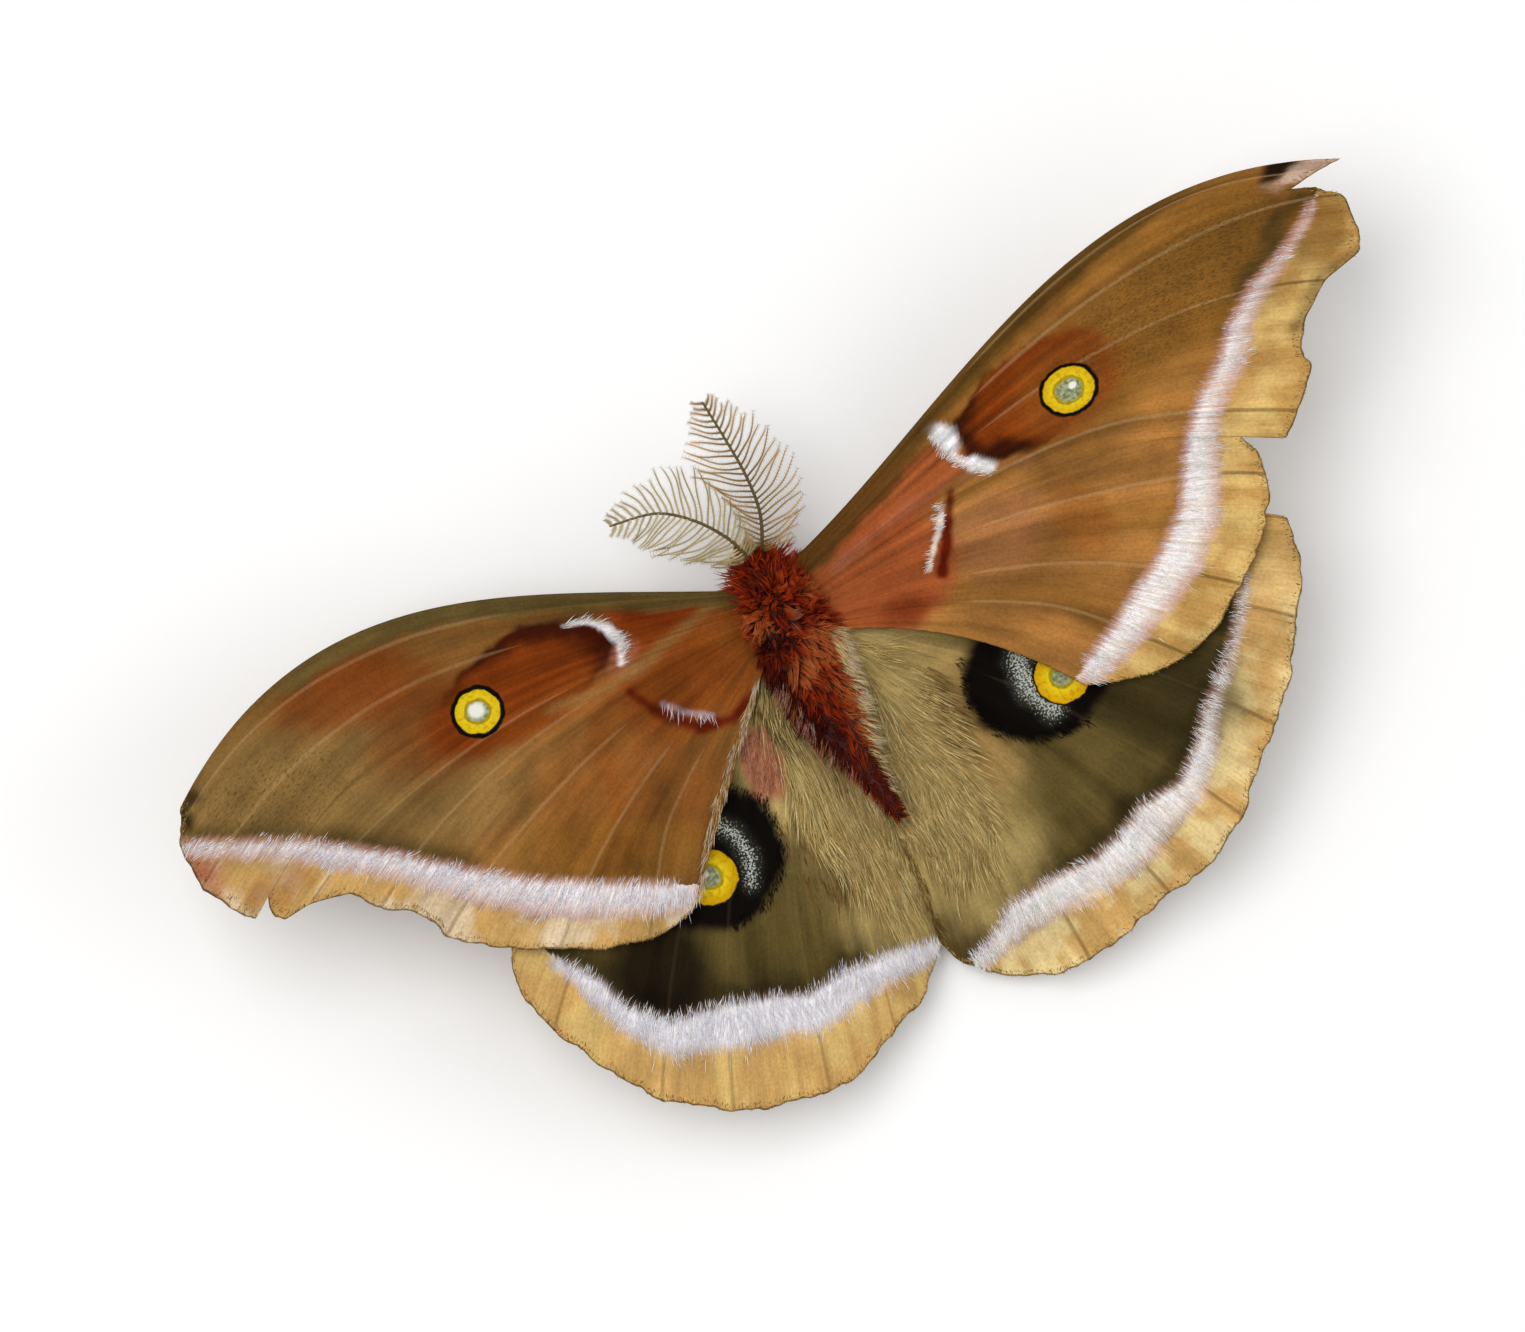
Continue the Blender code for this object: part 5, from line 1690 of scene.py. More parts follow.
@dataclass
class Feeler:
    """One feathered feeler: a ringed shaft, a row of wavy rays along each side, hairs on each ray."""

    name: str
    knots: Points
    inner: int
    shaft_tones: tuple[Tone, Tone]
    ray_tones: tuple[Tone, Tone]
    seed: int
    radius: float = 0.2
    rays: int = 28
    rays_from: float = 0.13
    rays_to: float = 0.985
    ray_length: float = 4.8
    tip_from: float = 0.65
    tip_share: float = 0.6
    inner_lift: float = 0.9
    outer_drop: float = 0.5
    clear_share: float = 0.85
    least_ray: float = 0.8
    path_points: int = 10
    ray_radius: float = 0.085
    hairs: int = 22
    hair_length: float = 0.36

    def build(self, spacing_from: Points) -> None:
        """Makes the feeler.

        A ray's middle line is shaft point + (out * t + along * ((0.2 + 0.35 share) t + 0.36 t2)) *
        length, lifted or lowered by t, plus a small wave. Its length follows the sine of its place
        on the shaft, and from tip_from on it also falls evenly to tip_share of that at the tip.

        Args:
            spacing_from: the other feeler's knots, which the inner rays stop short of.
        """
        rng = np.random.default_rng(self.seed)
        fine = smooth_line(self.knots, 400)
        slope = unit(np.gradient(fine, axis=0))
        share = np.linspace(self.rays_from, self.rays_to, 2 * self.rays)
        index = (share * (len(fine) - 1)).astype(int)
        side = np.where(np.arange(2 * self.rays) % 2 == 1, self.inner, -self.inner)
        along = slope[index]
        out = unit(np.cross((0.0, 0.0, 1.0), along)) * -side[:, None]
        tapering = np.interp(share, (self.tip_from, 1.0), (1.0, self.tip_share))
        length = self.ray_length * np.sin(math.pi * (0.1 + 0.84 * share)) ** 0.85 * tapering
        other = smooth_line(spacing_from, 60)
        apart = np.linalg.norm(fine[index][:, None] - other[None], axis=-1)
        room = self.clear_share * apart.min(axis=1)
        inner = side == self.inner
        length = np.where(inner, np.minimum(length, np.maximum(room, self.least_ray)), length)
        length = length * rng.uniform(0.86, 1.1, len(length))
        lift = np.where(inner, -self.inner_lift * self.inner, -self.outer_drop)
        t = np.linspace(0.0, 1.0, self.path_points)
        sweep = (0.2 + 0.35 * share[:, None]) * t + 0.36 * t * t
        wave = 0.1 * np.sin(5.0 * t[None] + rng.uniform(0.0, 6.3, (len(length), 1))) * t[None]
        paths = out[:, None] * t[None, :, None] + along[:, None] * (sweep + wave)[..., None]
        paths = fine[index][:, None] + paths * length[:, None, None]
        bob = 0.12 * np.sin(4.0 * t[None] + rng.uniform(0, 6.3, (len(length), 1)))
        paths[..., 2] += lift[:, None] * t + bob
        up = np.broadcast_to((0.0, 0.0, 1.0), (len(length), 3))
        taper = np.linspace(1.2, 0.75, self.path_points - 1)
        widths = self.ray_radius * taper[None] * np.ones((len(length), 1))
        ray_points, ray_faces = strands(paths, widths, up, 0.9, 4)
        parts = [
            self.coloured(ray_points, ray_faces, self.ray_tones, len(length), rng),
            self.fine_hairs(paths, along, rng),
            self.shaft(fine, rng),
        ]
        finish = FurFinish(self.name, 0.6, 0.2, 0.5).material()
        merged(parts).piece(self.name, finish, "feeler", self.name)

    def coloured(
        self, points: Array, faces: list[Array], tones: tuple[Tone, Tone], bars: int, rng: Random
    ) -> Surface:
        """Bars tinted from the first tone at the root to the second at the tip, each its own shade."""
        each = len(points) // bars
        blend = np.tile(np.linspace(0.0, 1.0, each), bars)[:, None]
        shade = np.repeat(rng.normal(1.0, 0.15, bars), each)[:, None]
        tint = (tones[0].light * (1.0 - blend) + tones[1].light * blend) * shade
        return Surface(points, faces, {"tint": np.clip(tint, 0.0, 1.0)})

    def fine_hairs(self, paths: Array, along: Array, rng: Random) -> Surface:
        """Short hairs in a row on both sides of every ray, leaning to its tip."""
        count = self.hairs
        t = np.linspace(0.06, 0.97, count)
        steps = np.linspace(0.0, 1.0, paths.shape[1])
        place_at = t * (len(steps) - 1)
        low = np.minimum(place_at.astype(int), len(steps) - 2)
        part = (place_at - low)[None, :, None]
        roots = paths[:, low] * (1.0 - part) + paths[:, low + 1] * part
        heading = unit(paths[:, low + 1] - paths[:, low])
        beside = np.broadcast_to(along[:, None], heading.shape)
        across = unit(beside - heading * np.einsum("ijk,ijk->ij", beside, heading)[..., None])
        both = []
        for way in (1.0, -1.0):
            lean = unit(across * way + heading * 0.6 + rng.normal(0.0, 0.12, heading.shape))
            ends = roots + lean * (self.hair_length * rng.uniform(0.7, 1.2, (*heading.shape[:2], 1)))
            middles = 0.5 * (roots + ends) + (0.0, 0.0, 0.02)
            both.append(np.stack((roots, middles, ends), axis=2).reshape(-1, 3, 3))
        bars = np.concatenate(both)
        widths = np.full((len(bars), 2), 0.022)
        up = np.broadcast_to((0.05, 0.02, 1.0), (len(bars), 3))
        points, faces = strands(bars, widths, up, 0.8)
        return self.coloured(points, faces, self.ray_tones, len(bars), rng)

    def shaft(self, fine: Array, rng: Random) -> Surface:
        """The shaft, swelling at each of its short segments."""
        path = fine[::2][None]
        count = path.shape[1] - 1
        share = np.linspace(0.0, 1.0, count)
        widths = self.radius * (1.0 - 0.45 * share) * (1.0 + 0.14 * np.sin(share * math.pi * 62) ** 2)
        points, faces = strands(path, widths[None], np.array([[0.0, 0.0, 1.0]]), 1.0, 12)
        return self.coloured(points, faces, self.shaft_tones, 1, rng)


@dataclass
class Studio:
    """Pale floor, soft lights and the picture's camera.

    target and frame_width are in moth millimetres, sensor in the camera's own, and the rest in
    metres. A lamp is its name, place, size and power in watts.
    """

    target: Triple = (6.19, -7.6, 9.5)
    distance: float = 1.2
    frame_width: float = 152.5
    sensor: float = 36.0
    floor_half: float = 4.0
    floor_colour: Triple = (0.95, 0.95, 0.945)
    floor_roughness: float = 0.9
    sky_strength: float = 0.54
    lamps: tuple[tuple[str, Triple, float, float], ...] = (
        ("key", (0.35, -0.25, 0.9), 0.6, 5.7),
        ("fill", (-0.7, 0.4, 0.7), 0.9, 2.1),
    )
    forwards_in_picture: Pair = (-0.875, 0.485)

    def build(self) -> None:
        """Sets floor, lights, world and camera."""
        self.floor()
        self.lights()
        self.camera()

    def floor(self) -> None:
        """A wide square sheet at the feet."""
        mesh = bpy.data.meshes.new("floor")
        half = self.floor_half
        corners = [(-half, -half, 0.0), (half, -half, 0.0), (half, half, 0.0), (-half, half, 0.0)]
        mesh.from_pydata(corners, [], [(0, 1, 2, 3)])
        material, _, shader = new_material("floor_paper")
        shader.inputs["Base Color"].default_value = (*self.floor_colour, 1.0)
        shader.inputs["Roughness"].default_value = self.floor_roughness
        mesh.materials.append(material)
        obj = new_object("floor", mesh)

    def lights(self) -> None:
        """A large soft key over the head, a fill from the other side, and an even pale sky."""
        for name, spot, size, power in self.lamps:
            data = bpy.data.lights.new(name, "AREA")
            data.size = size
            data.energy = power
            light = new_object(name, data)
            self.aim(light, np.array(spot), np.zeros(3), np.array((0.0, 1.0, 0.0)))
        world = bpy.data.worlds.new("sky")
        world.use_nodes = True
        sky = world.node_tree.nodes["Background"]
        sky.inputs["Color"].default_value = (1.0, 1.0, 1.0, 1.0)
        sky.inputs["Strength"].default_value = self.sky_strength
        bpy.context.scene.world = world
        bpy.context.scene.view_settings.view_transform = "Standard"

    def camera(self) -> None:
        """The camera, 10 degrees to the moth's left of upright, turned as the picture is."""
        cos, sin = math.cos(VIEW_TILT), math.sin(VIEW_TILT)
        left = np.array((cos, 0.0, -sin))
        towards = np.array((sin, 0.0, cos))
        across, turned = self.forwards_in_picture
        right = unit(across * left + turned * np.array((0.0, 1.0, 0.0)))
        up = np.cross(towards, right)
        data = bpy.data.cameras.new("camera")
        data.sensor_width = self.sensor
        data.lens = self.sensor * self.distance / (self.frame_width * MM)
        data.clip_start = 0.01
        camera = new_object("camera", data)
        target = np.array(self.target) * MM
        self.aim(camera, target + towards * self.distance, target, up)
        bpy.context.scene.camera = camera

    def aim(self, obj: bpy.types.Object, spot: Array, target: Array, up: Array) -> None:
        """Puts obj at spot, its -Z on the target and its Y as near up as can be."""
        back = unit(spot - target)
        right = unit(np.cross(up, back))
        matrix = np.eye(4)
        matrix[:3, :3] = np.stack((right, np.cross(back, right), back), -1)
        matrix[:3, 3] = spot
        obj.matrix_world = Matrix(matrix.tolist())


BAND_WHITES = (Tone.HAIR_WHITE, Tone.HAIR_WHITE, Tone.HAIR_CREAM, Tone.HAIR_LILAC)
BAND_ROOTS = (Tone.HAIR_WHITE, Tone.HAIR_LILAC)
TAN_TIPS = (Tone.HAIR_TAN, Tone.HAIR_STRAW, Tone.OCHRE, Tone.OCHRE, Tone.OLIVE_TAN, Tone.SMOKE)
MARGIN_HAIRS = HairPatch(
    Zone.MARGIN, 900, (0.12, 0.4), 0.07, (Tone.SAND, Tone.SMOKE), (Tone.SMOKE, Tone.SAND), lift=0.1
)


def band_hairs(
    count: int,
    lengths: Pair,
    scatter: float,
    width: float = 0.06,
    roots: Tones = BAND_ROOTS,
    tips: Tones = BAND_WHITES,
) -> HairPatch:
    """Pale hairs lying flat across the band."""
    return HairPatch(Zone.BAND, count, lengths, width, roots, tips, lift=0.1, scatter=scatter)


def fringe_hairs(
    count: int,
    lengths: Pair,
    width: float = 0.055,
    roots: Tones = BAND_ROOTS,
    tips: Tones = BAND_WHITES,
) -> HairPatch:
    """Pale hairs on the band's inner edge that point back to the wing's root."""
    return HairPatch(Zone.BAND_INNER_EDGE, count, lengths, width, roots, tips, lift=0.1, turn=180.0)


def tan_hairs(longest: float, area: Spot) -> HairPatch:
    """The long tan hairs beside the body on a hindwing."""
    return HairPatch(
        Zone.AREA, 2400, (1.8, longest), 0.08, (Tone.HAIR_TAN,), TAN_TIPS, area, 0.1, scatter=0.12
    )


def rim_hairs(rim: Points) -> HairPatch:
    """Short black hairs round a hindwing's eyespot."""
    line = Stroke(rim, 0.8, Tone.BLACK, 1.0, 0.4)
    return HairPatch(Zone.AREA, 500, (0.3, 0.8), 0.07, (Tone.BLACK,), (Tone.BLACK,), line, 0.15)


def left_forewing() -> Wing:
    """The left forewing with its own colours and markings."""
    costal = ((20.6, 10.7), (18.4, 10.0), (16.9, 8.5), (16.5, 6.6), (17.3, 4.6))
    costal_streak = ((6.0, 5.4), (9.4, 4.9), (15.0, 3.8), (19.3, 3.1), (25.6, 4.0))
    outer_line = ((64.0, 11.4), (60.1, 9.2), (53.5, 5.7), (46.1, 0.3), (40.0, -5.1))
    arc = ((18.0, 1.7), (16.9, -0.6), (15.5, -2.6), (13.2, -4.8), (10.4, -5.5), (7.6, -4.8))
    arc_whites = ((15.7, -0.9), (14.3, -2.6), (11.9, -4.3))
    marks = (
        Spot((29.0, -3.0), (12.0, 5.5), Tone.TAWNY, 0.6, 0.6, -20.0),
        Stroke(((22.0, 1.0), (25.0, -9.0), (27.0, -14.0)), 1.6, Tone.CHESTNUT, 0.5, 1.2),
        Stroke(((30.0, 1.0), (35.0, -8.0)), 1.2, Tone.SMOKE, 0.5, 1.2),
        Stroke(((19.0, -6.0), (20.5, -12.0), (21.0, -16.0)), 1.4, Tone.SMOKE, 0.55, 1.2),
        Spot((23.0, -7.5), (8.0, 6.0), Tone.CHESTNUT, 0.45, 0.6),
        Spot((27.0, -11.0), (9.0, 3.0), Tone.OCHRE_BROWN, 0.6, 0.6, 30.0),
        Spot((51.0, 10.0), (13.0, 6.0), Tone.OLIVE_TAN, 0.85, 0.5, 8.0),
        Spot((39.5, 1.5), (7.0, 4.5), Tone.OLIVE_TAN, 0.75, 0.6, 20.0),
        Spot((11.0, 1.0), (9.5, 5.5), Tone.CHESTNUT, 0.85),
        Spot((13.5, 1.4), (4.6, 3.2), Tone.RUST, 0.5, 0.6),
        Spot((13.5, 7.0), (6.5, 2.6), Tone.BRICK_DARK, 0.95, 0.4, 10.0),
        Stroke(((7.0, 6.0), (11.0, 7.2), (14.0, 8.6)), 2.2, Tone.BLOOD, 0.55, 0.9),
        Spot((17.4, 5.2), (1.8, 1.6), Tone.SALMON, 0.6, 0.6),
        Spot((42.5, 15.6), (6.5, 3.6), Tone.RUST, 0.75, 0.7, 10.0),
        Spot((36.5, 8.0), (6.0, 4.4), Tone.RUST, 0.6, 0.7),
        Spot((26.4, 7.8), (9.2, 4.6), Tone.MAROON, 0.95, 0.1),
        Spot((28.9, 6.9), (8.4, 3.9), Tone.BRICK_DARK, 1.0, 0.34),
        Spot((25.5, 4.0), (6.0, 1.6), Tone.CHESTNUT, 0.6, 0.6),
        Stroke(costal, 0.4, Tone.WHITE, 0.75, 0.3),
        Stroke(arc, 0.9, Tone.BLOOD, 0.9, 0.45),
        Stroke(arc_whites, 0.25, Tone.LILAC, 0.35, 0.3),
        Stroke(costal_streak, 1.1, Tone.OLIVE_TAN, 0.55, 0.6),
        Stroke(outer_line, 1.4, Tone.UMBER, 0.6, 1.1),
        Spot((62.8, 12.4), (1.9, 1.1), Tone.BLACK, 0.9, 0.5, 20.0),
        Spot((60.6, 13.4), (1.2, 0.9), Tone.BLACK, 0.75),
        Spot((64.4, 5.6), (2.8, 3.4), Tone.SALMON, 0.75),
        Stroke(((66.0, 8.8), (64.6, 7.2), (62.9, 6.0)), 0.9, Tone.RED_BROWN, 0.55, 0.6),
        Spot((57.5, 1.6), (3.6, 1.8), Tone.TAWNY, 0.6),
    )
    band = (
        (65.4, 10.9, 0.6), (62.9, 9.7, 0.9), (60.1, 8.2, 1.1), (56.8, 6.5, 1.3), (53.5, 4.6, 1.5),
        (50.2, 2.2, 1.8), (46.1, -0.9, 2.0), (42.1, -4.5, 2.3), (38.4, -7.6, 2.7),
        (34.6, -10.4, 3.0), (31.0, -12.7, 3.1), (27.4, -14.8, 2.9), (23.6, -17.0, 2.6),
    )
    hairs = (
        band_hairs(1500, (0.6, 1.6), 0.16),
        fringe_hairs(420, (0.4, 1.1)),
        HairPatch(
            Zone.AREA, 125, (0.6, 1.5), 0.05, (Tone.HAIR_CREAM,), (Tone.HAIR_WHITE, Tone.HAIR_LILAC),
            Stroke(costal, 0.5, Tone.WHITE, 1.0, 0.2), 0.12, 180.0, 0.28,
        ),
        HairPatch(
            Zone.AREA, 34, (0.7, 1.7), 0.06, (Tone.HAIR_LILAC, Tone.HAIR_PINK),
            (Tone.HAIR_WHITE, Tone.HAIR_LILAC), Stroke(arc_whites, 0.6, Tone.WHITE, 1.0, 0.2), 0.15, -35.0,
            0.3,
        ),
        HairPatch(
            Zone.INNER_EDGE, 420, (0.8, 2.0), 0.07, (Tone.OCHRE_BROWN, Tone.SAND),
            (Tone.SAND, Tone.CREAM), lift=0.15, scatter=0.12,
        ),
        MARGIN_HAIRS,
    )
    return Wing(
        shape=LEFT_FOREWING,
        finish=WingFinish(
            "left_forewing_scales", (32.0, 7.3), (2.7, 2.6), 0.8, 0.43, (0.02, 0.08), 0.42, "d9b814",
            vein_strength=0.16, margin_vein=0.35, pink_strength=0.5, fleck="4a3819", fleck_along_rays=True,
        ),
        base=Tone.DRAB,
        costa=(2.4, Tone.OLIVE),
        shade=(
            ((0.0, 4.2, 0.95), (0.2, 5.0, 0.95), (0.45, 5.0, 0.8), (0.7, 3.6, 0.45), (1.0, 2.6, 0.3)),
            Tone.UMBER,
        ),
        frost=(Spot((53.0, 9.5), (10.0, 4.5), Tone.GREY, 0.6, 0.9, 8.0),),
        margin_tones=(Tone.SAND, Tone.PALE_SAND),
        band_tone=Tone.DUSTY_PINK,
        streak_tone=Tone.SMOKE,
        seed=101,
        marks=marks, band=band, hairs=hairs,
    )


def right_forewing() -> Wing:
    """The right forewing with its own colours and markings."""
    costal = ((21.0, 9.4), (21.4, 8.2), (21.8, 6.6), (22.7, 5.1), (24.3, 3.8))
    arc_whites = ((18.4, 3.1), (17.2, 1.2), (15.8, -0.1), (14.2, -2.0))
    marks = (
        Spot((46.0, 9.5), (17.0, 6.0), Tone.OCHRE_BROWN, 0.85, 0.5, 12.0),
        Spot((58.0, 11.8), (6.0, 2.6), Tone.COSTA_BROWN, 0.35, 0.6),
        Spot((46.0, 1.0), (6.0, 3.4), Tone.TAWNY, 0.6, 0.6),
        Spot((22.5, -7.5), (7.5, 4.0), Tone.DRAB, 0.6, 0.6),
        Spot((33.0, 1.5), (5.5, 2.6), Tone.DRAB, 0.6, 0.6),
        Spot((21.5, -2.0), (4.5, 3.5), Tone.SALMON, 0.35, 0.6),
        Spot((30.0, -5.0), (2.2, 3.4), Tone.CHESTNUT, 0.4, 0.6),
        Spot((14.5, 6.0), (8.4, 2.8), Tone.BRICK, 0.85, 0.35, 4.0),
        Spot((8.5, -0.4), (8.7, 5.9), Tone.BRICK, 0.9, 0.25),
        Stroke(((6.0, 2.6), (12.0, 4.0), (20.0, 4.6), (28.0, 2.8)), 0.9, Tone.SALMON, 0.5, 0.6),
        Stroke(((22.5, 9.8), (27.0, 12.0), (32.0, 14.0), (38.0, 15.6)), 2.8, Tone.UMBER_BROWN, 0.85, 1.0),
        Spot((30.5, 8.0), (8.0, 4.3), Tone.MAROON, 0.95, 0.1, 8.0),
        Spot((32.2, 8.7), (7.3, 3.8), Tone.BRICK_DARK, 0.95, 0.22, 8.0),
        Spot((34.6, 7.4), (5.4, 3.6), Tone.CHESTNUT, 1.0, 0.5, 8.0),
        Stroke(costal, 0.7, Tone.WHITE, 0.95, 0.3),
        Stroke(((21.5, 9.9), (21.9, 9.0), (22.1, 7.8)), 1.9, Tone.WHITE, 0.95, 0.4),
        Stroke(((23.0, 5.0), (24.4, 3.9)), 1.4, Tone.WHITE, 0.95, 0.4),
        Stroke(((19.7, 3.7), (18.3, 1.5), (17.0, -0.5), (15.0, -2.9)), 1.3, Tone.BLOOD, 0.95, 0.35),
        Spot((10.6, -4.5), (2.2, 1.5), Tone.BLOOD, 0.6, 0.8),
        Stroke(arc_whites, 0.5, Tone.CREAM, 0.75, 0.2),
        Spot((64.3, 16.2), (2.0, 1.2), Tone.BLACK, 0.95, 0.4, 10.0),
        Spot((61.6, 10.8), (1.9, 1.4), Tone.UMBER, 0.85, 0.6),
        Stroke(((64.2, 12.2), (61.4, 10.2), (58.6, 9.1), (54.8, 7.6)), 1.6, Tone.UMBER, 0.85, 1.0),
        Stroke(((66.8, 5.2), (62.5, 4.7), (60.1, 2.8), (57.7, 1.3)), 1.1, Tone.UMBER, 0.6, 0.8),
        Spot((66.3, 14.7), (3.4, 0.9), Tone.DUSTY_PINK, 0.9, 0.4),
        Spot((64.4, 8.8), (3.2, 3.0), Tone.OCHRE_BROWN, 0.75),
    )
    band = (
        (65.0, 11.2, 0.0), (62.0, 9.2, 0.1), (59.2, 8.2, 0.7), (55.9, 7.0, 1.1), (52.5, 4.9, 1.8),
        (49.6, 2.0, 2.0), (46.3, 0.1, 2.1), (43.4, -2.8, 2.5), (41.0, -6.1, 3.1), (39.1, -9.0, 3.5),
        (35.8, -11.6, 3.7), (31.5, -13.8, 3.5), (28.1, -15.7, 2.9), (23.6, -17.8, 1.9),
    )
    hairs = (
        band_hairs(1000, (0.5, 1.5), 0.16, 0.055, (Tone.HAIR_WHITE,), (Tone.HAIR_WHITE, Tone.HAIR_CREAM)),
        fringe_hairs(380, (0.4, 0.9), 0.05, (Tone.HAIR_LILAC,), (Tone.HAIR_LILAC, Tone.HAIR_PINK)),
        HairPatch(
            Zone.AREA, 200, (0.4, 0.9), 0.06, (Tone.HAIR_WHITE,), (Tone.HAIR_WHITE, Tone.HAIR_CREAM),
            Stroke(costal, 0.7, Tone.WHITE, 1.0, 0.5), 0.12, 180.0,
        ),
        HairPatch(
            Zone.AREA, 90, (0.5, 1.1), 0.06, (Tone.HAIR_CREAM, Tone.HAIR_LILAC),
            (Tone.HAIR_WHITE, Tone.HAIR_CREAM), Stroke(arc_whites, 0.4, Tone.WHITE, 1.0, 0.2), 0.15, 180.0,
        ),
        MARGIN_HAIRS,
    )
    return Wing(
        shape=RIGHT_FOREWING,
        finish=WingFinish(
            "right_forewing_scales", (35.0, 6.9), (3.1, 2.6), 0.83, 0.45, (0.16, 0.1), 0.17, "d6b012",
            vein_strength=0.22, margin_vein=0.6, pink_strength=0.6, fleck="4f3a18", fleck_along_rays=True,
        ),
        base=Tone.TAWNY,
        costa=(3.6, Tone.COSTA_BROWN),
        shade=(
            ((0.0, 3.0, 1.0), (0.2, 3.4, 0.95), (0.35, 2.6, 0.75), (0.5, 1.8, 0.35), (1.0, 1.5, 0.1)),
            Tone.UMBER,
        ),
        frost=(Spot((48.0, 10.5), (15.0, 5.0), Tone.GREY, 0.7, 0.9, 12.0),),
        margin_tones=(Tone.OCHRE_TAN, Tone.STRAW),
        band_tone=Tone.PALE_SAND,
        streak_tone=Tone.OCHRE_BROWN,
        seed=202,
        marks=marks, band=band, hairs=hairs,
    )


def left_hindwing() -> Wing:
    """The left hindwing with its own colours and markings."""
    crescent = ((19.0, -13.0), (17.0, -13.6), (15.7, -15.8), (15.4, -18.2), (16.6, -20.8))
    rim = ((14.2, -10.9), (11.9, -13.6), (11.6, -17.0), (13.0, -20.6), (16.0, -23.0), (20.0, -23.6))
    marks = (
        Spot((4.5, -18.0), (7.6, 16.5), Tone.TAN_HAIR, 0.95, 0.35),
        Spot((12.4, -23.5), (4.6, 5.5), Tone.OLIVE, 0.75, 0.6),
        Spot((18.0, -25.0), (8.0, 2.4), Tone.OLIVE, 0.6, 0.6),
        Spot((28.5, -24.0), (4.4, 4.6), Tone.BLACK, 0.85, 0.5, -35.0),
        Spot((19.2, -16.9), (7.6, 6.7), Tone.BLACK, 1.0, 0.14),
        Stroke(crescent, 1.6, Tone.GREY, 0.2, 1.0),
        Spot((9.6, -10.9), (2.0, 3.9), Tone.SALMON, 0.9, 0.25, 10.0),
    )
    band = (
        (36.5, -18.5, 0.9), (34.6, -21.8, 1.4), (33.2, -25.7, 2.1), (30.0, -28.9, 3.2),
        (25.4, -29.9, 4.3), (20.2, -31.7, 4.0), (17.0, -33.4, 3.4), (12.8, -33.1, 3.3),
        (7.9, -33.9, 2.4), (3.2, -35.2, 1.2),
    )
    hairs = (
        band_hairs(1900, (0.7, 1.8), 0.2),
        fringe_hairs(600, (0.5, 1.3)),
        tan_hairs(4.4, Spot((4.4, -17.5), (4.6, 12.0), Tone.TAN_HAIR, 1.0, 0.2)),
        HairPatch(
            Zone.AREA, 160, (1.0, 2.2), 0.055, (Tone.CHESTNUT, Tone.SMOKE), (Tone.CHESTNUT, Tone.UMBER),
            Spot((9.0, -22.0), (3.0, 6.0), Tone.CHESTNUT, 1.0, 0.3), 0.16, scatter=0.12,
        ),
        # Dark hairs beside the abdomen: painted shade under the abdomen's left side, at the wing's base.
        HairPatch(
            Zone.AREA, 200, (1.4, 3.0), 0.07, (Tone.SMOKE,), (Tone.UMBER, Tone.SMOKE),
            Spot((6.4, -7.5), (1.6, 4.2), Tone.SMOKE, 1.0, 0.3), 0.16, scatter=0.12,
        ),
        HairPatch(
            Zone.AREA, 300, (0.6, 1.3), 0.07, (Tone.SALMON,), (Tone.SALMON, Tone.FLAME, Tone.HAIR_PINK),
            Spot((9.4, -10.4), (1.7, 3.2), Tone.SALMON, 1.0, 0.1, 10.0), 0.12,
        ),
        rim_hairs(rim),
        MARGIN_HAIRS,
    )
    return Wing(
        shape=LEFT_HINDWING,
        finish=WingFinish(
            "left_hindwing_scales", (19.9, -18.3), (2.95, 2.95), 0.9, 0.36, (0.14, 0.2), 0.2, "c79c04",
            vein_strength=0.02, margin_vein=0.35, pink_strength=0.12, fleck="b4b8ae", fleck_along_rays=False,
        ),
        base=Tone.DARK_OLIVE,
        costa=(0.8, Tone.OLIVE_TAN),
        shade=(((0.0, 3.0, 0.6), (0.3, 4.0, 0.9), (0.6, 3.4, 0.85), (1.0, 2.4, 0.5)), Tone.BLACK_OLIVE),
        frost=(Stroke(crescent, 1.8, Tone.GREY, 1.0, 1.2),),
        margin_tones=(Tone.SAND, Tone.STRAW),
        band_tone=Tone.PALE_LILAC,
        streak_tone=Tone.OLIVE,
        seed=303,
        marks=marks, band=band, hairs=hairs,
    )


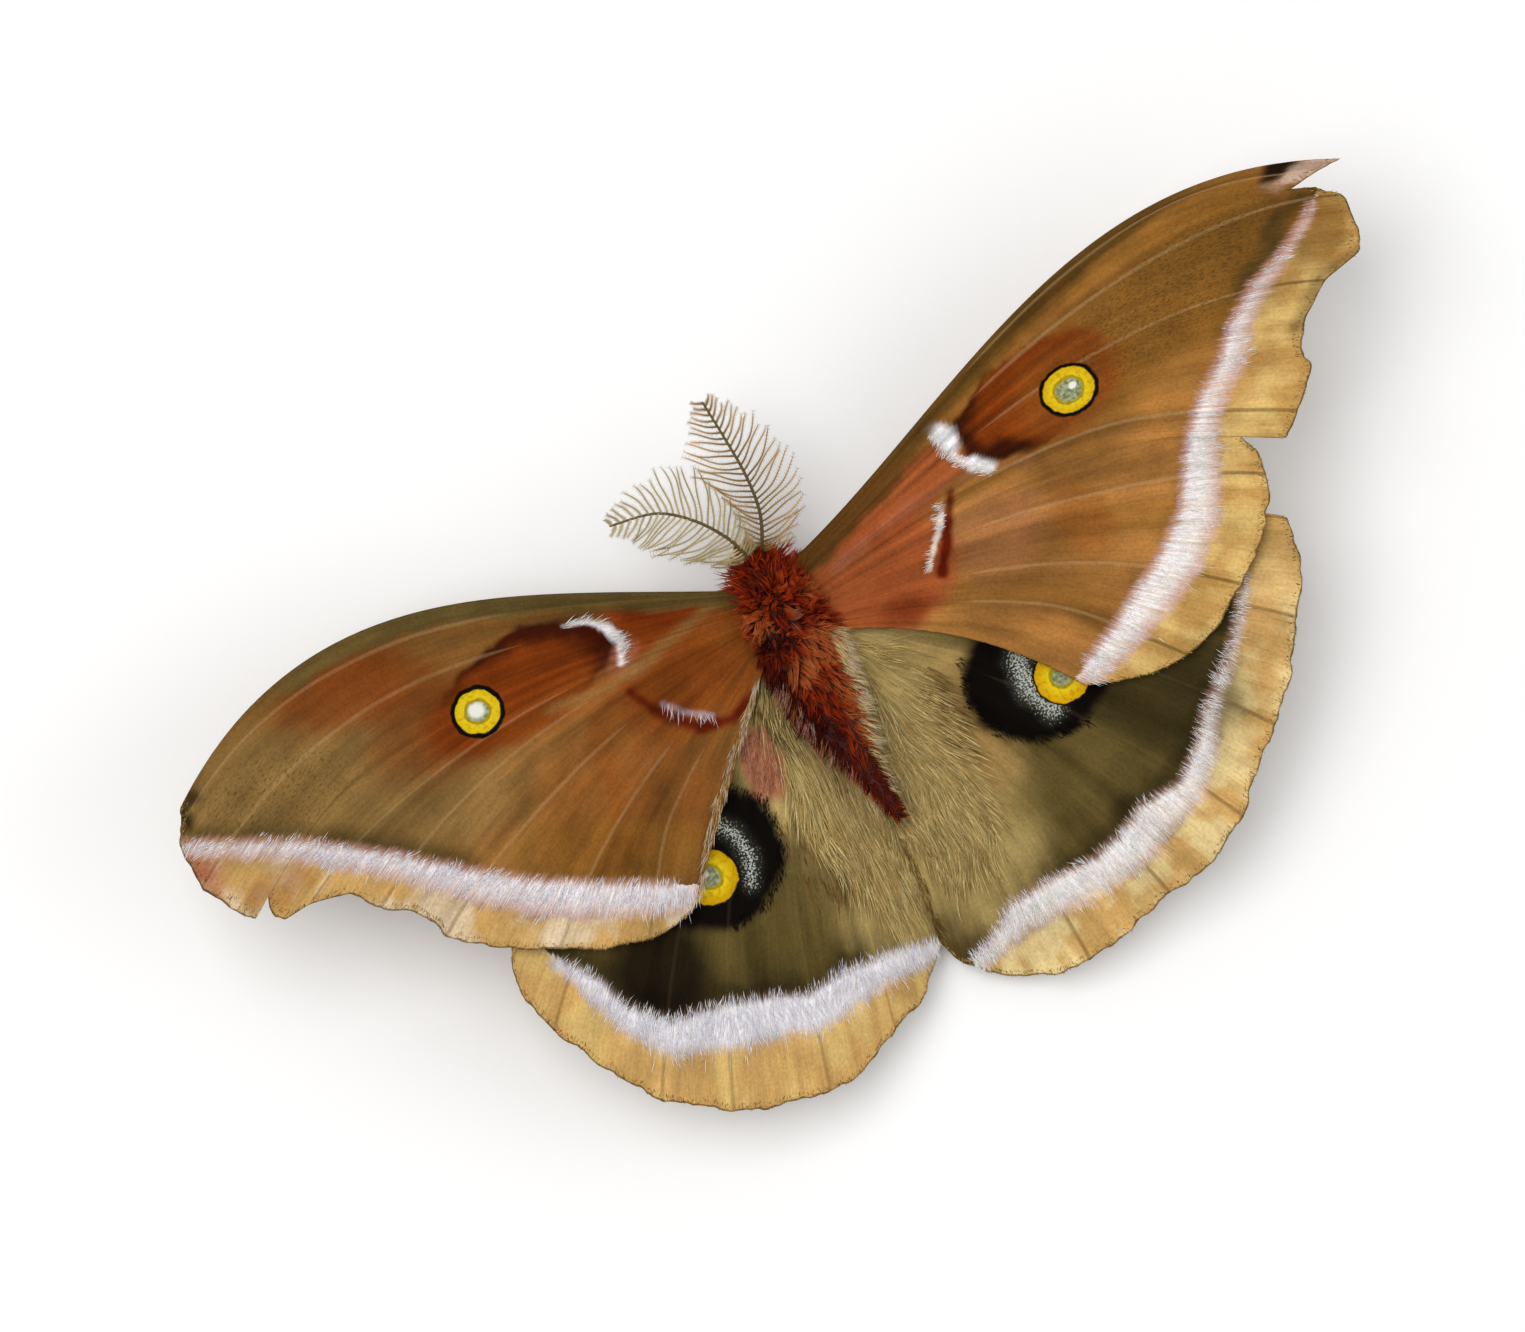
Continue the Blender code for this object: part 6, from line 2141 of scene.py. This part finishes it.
def right_hindwing() -> Wing:
    """The right hindwing with its own colours and markings."""
    crescent = ((18.9, -12.4), (17.5, -14.4), (17.0, -17.0), (18.2, -20.2))
    rim = ((12.3, -11.6), (11.2, -15.6), (12.4, -19.6), (15.6, -22.2), (20.6, -22.9))
    marks = (
        Spot((4.0, -18.0), (8.5, 17.0), Tone.TAN_HAIR, 0.95, 0.35),
        Spot((10.5, -18.0), (3.2, 6.5), Tone.OLIVE_TAN, 0.85, 0.6),
        Spot((17.0, -26.0), (7.0, 2.6), Tone.OLIVE, 0.7, 0.6, 15.0),
        Spot((28.5, -24.0), (8.0, 4.6), Tone.BLACK_OLIVE, 0.8, 0.6, -40.0),
        Stroke(((26.0, -19.0), (33.0, -20.5), (37.5, -18.5)), 3.0, Tone.BLACK_OLIVE, 0.6, 1.6),
        Spot((44.0, -17.0), (4.0, 5.0), Tone.SAND, 0.7, 0.4),
        Spot((38.6, -15.0), (4.0, 3.4), Tone.SMOKE, 0.7),
        Spot((18.2, -16.6), (7.3, 6.4), Tone.BLACK, 1.0, 0.14),
        Stroke(crescent, 2.2, Tone.GREY, 0.35, 1.2),
        Spot((9.0, -8.0), (3.0, 2.0), Tone.SMOKE, 0.4),
    )
    band = (
        (41.5, -17.5, 0.2), (39.0, -21.1, 0.3), (35.6, -24.5, 0.5), (31.7, -27.6, 0.9),
        (28.7, -31.0, 1.9), (25.6, -32.9, 2.6), (21.0, -33.3, 3.5), (18.0, -34.7, 3.6),
        (14.1, -35.6, 3.2), (9.5, -35.2, 3.3), (5.0, -35.6, 3.0), (1.9, -37.5, 1.7),
        (-0.6, -38.6, 1.0),
    )
    hairs = (
        band_hairs(
            1400, (0.6, 1.6), 0.2, 0.055, (Tone.HAIR_WHITE,),
            (Tone.HAIR_WHITE, Tone.HAIR_WHITE, Tone.HAIR_CREAM),
        ),
        fringe_hairs(620, (0.4, 1.1)),
        tan_hairs(4.6, Spot((3.8, -17.5), (4.8, 13.0), Tone.TAN_HAIR, 1.0, 0.2)),
        HairPatch(
            Zone.AREA, 170, (1.2, 2.4), 0.06, (Tone.SMOKE,), (Tone.OLIVE_TAN, Tone.OLIVE_TAN, Tone.SMOKE),
            Spot((8.4, -15.0), (1.7, 4.4), Tone.SMOKE, 1.0, 0.3), 0.12, scatter=0.12,
        ),
        rim_hairs(rim),
        HairPatch(
            Zone.INNER_EDGE, 320, (0.8, 1.8), 0.07, (Tone.SMOKE, Tone.UMBER), (Tone.SMOKE, Tone.SAND),
            lift=0.15, scatter=0.12,
        ),
        MARGIN_HAIRS,
    )
    return Wing(
        shape=RIGHT_HINDWING,
        finish=WingFinish(
            "right_hindwing_scales", (20.6, -17.8), (2.95, 2.95), 0.9, 0.36, (0.12, 0.16), 0.16, "d2a108",
            vein_strength=0.02, margin_vein=0.5, pink_strength=0.3, fleck="b4b8ae", fleck_along_rays=False,
        ),
        base=Tone.DARK_OLIVE,
        costa=(0.8, Tone.OLIVE_TAN),
        shade=(((0.0, 2.0, 0.5), (0.3, 3.2, 0.85), (0.6, 3.0, 0.8), (1.0, 2.4, 0.5)), Tone.BLACK_OLIVE),
        frost=(Stroke(crescent, 2.8, Tone.GREY, 0.95, 1.3),),
        margin_tones=(Tone.SAND, Tone.PALE_STRAW),
        band_tone=Tone.PALE_SAND,
        streak_tone=Tone.OLIVE,
        seed=404,
        marks=marks, band=band, hairs=hairs,
    )


LEFT_FEELER = (
    (1.05, 6.9, 8.4), (1.3, 8.2, 9.5), (2.3, 10.6, 10.5), (4.6, 13.7, 11.4), (7.8, 16.1, 12.2),
    (12.6, 17.2, 12.6),
)
RIGHT_FEELER = (
    (-0.1, 6.9, 8.4), (-0.7, 8.2, 9.5), (-1.9, 11.2, 10.6), (-2.3, 15.0, 11.5), (-2.1, 19.4, 12.3),
    (-1.8, 23.7, 12.8),
)


def main() -> None:
    """Builds the moth's parts in order, then the studio."""
    logging.basicConfig(level=logging.INFO, format="%(message)s")
    groups = {
        "scale_grain": scale_grain_group(),
        "hairy_band": hairy_band_group(),
        "eye_rings": eye_rings_group(),
    }
    for wing in (left_hindwing(), right_hindwing(), left_forewing(), right_forewing()):
        wing.build(groups)
    Body().build()
    Legs().build()
    shaft, rays = (Tone.OLIVE, Tone.SMOKE), (Tone.PALE_HORN, Tone.TAN_HAIR)
    Feeler("antenna_left", LEFT_FEELER, -1, shaft, rays, 71).build(RIGHT_FEELER)
    shaft, rays = (Tone.UMBER, Tone.OLIVE), (Tone.SMOKE, Tone.SAND)
    Feeler("antenna_right", RIGHT_FEELER, 1, shaft, rays, 72).build(LEFT_FEELER)
    Studio().build()


if __name__ == "__main__":
    main()
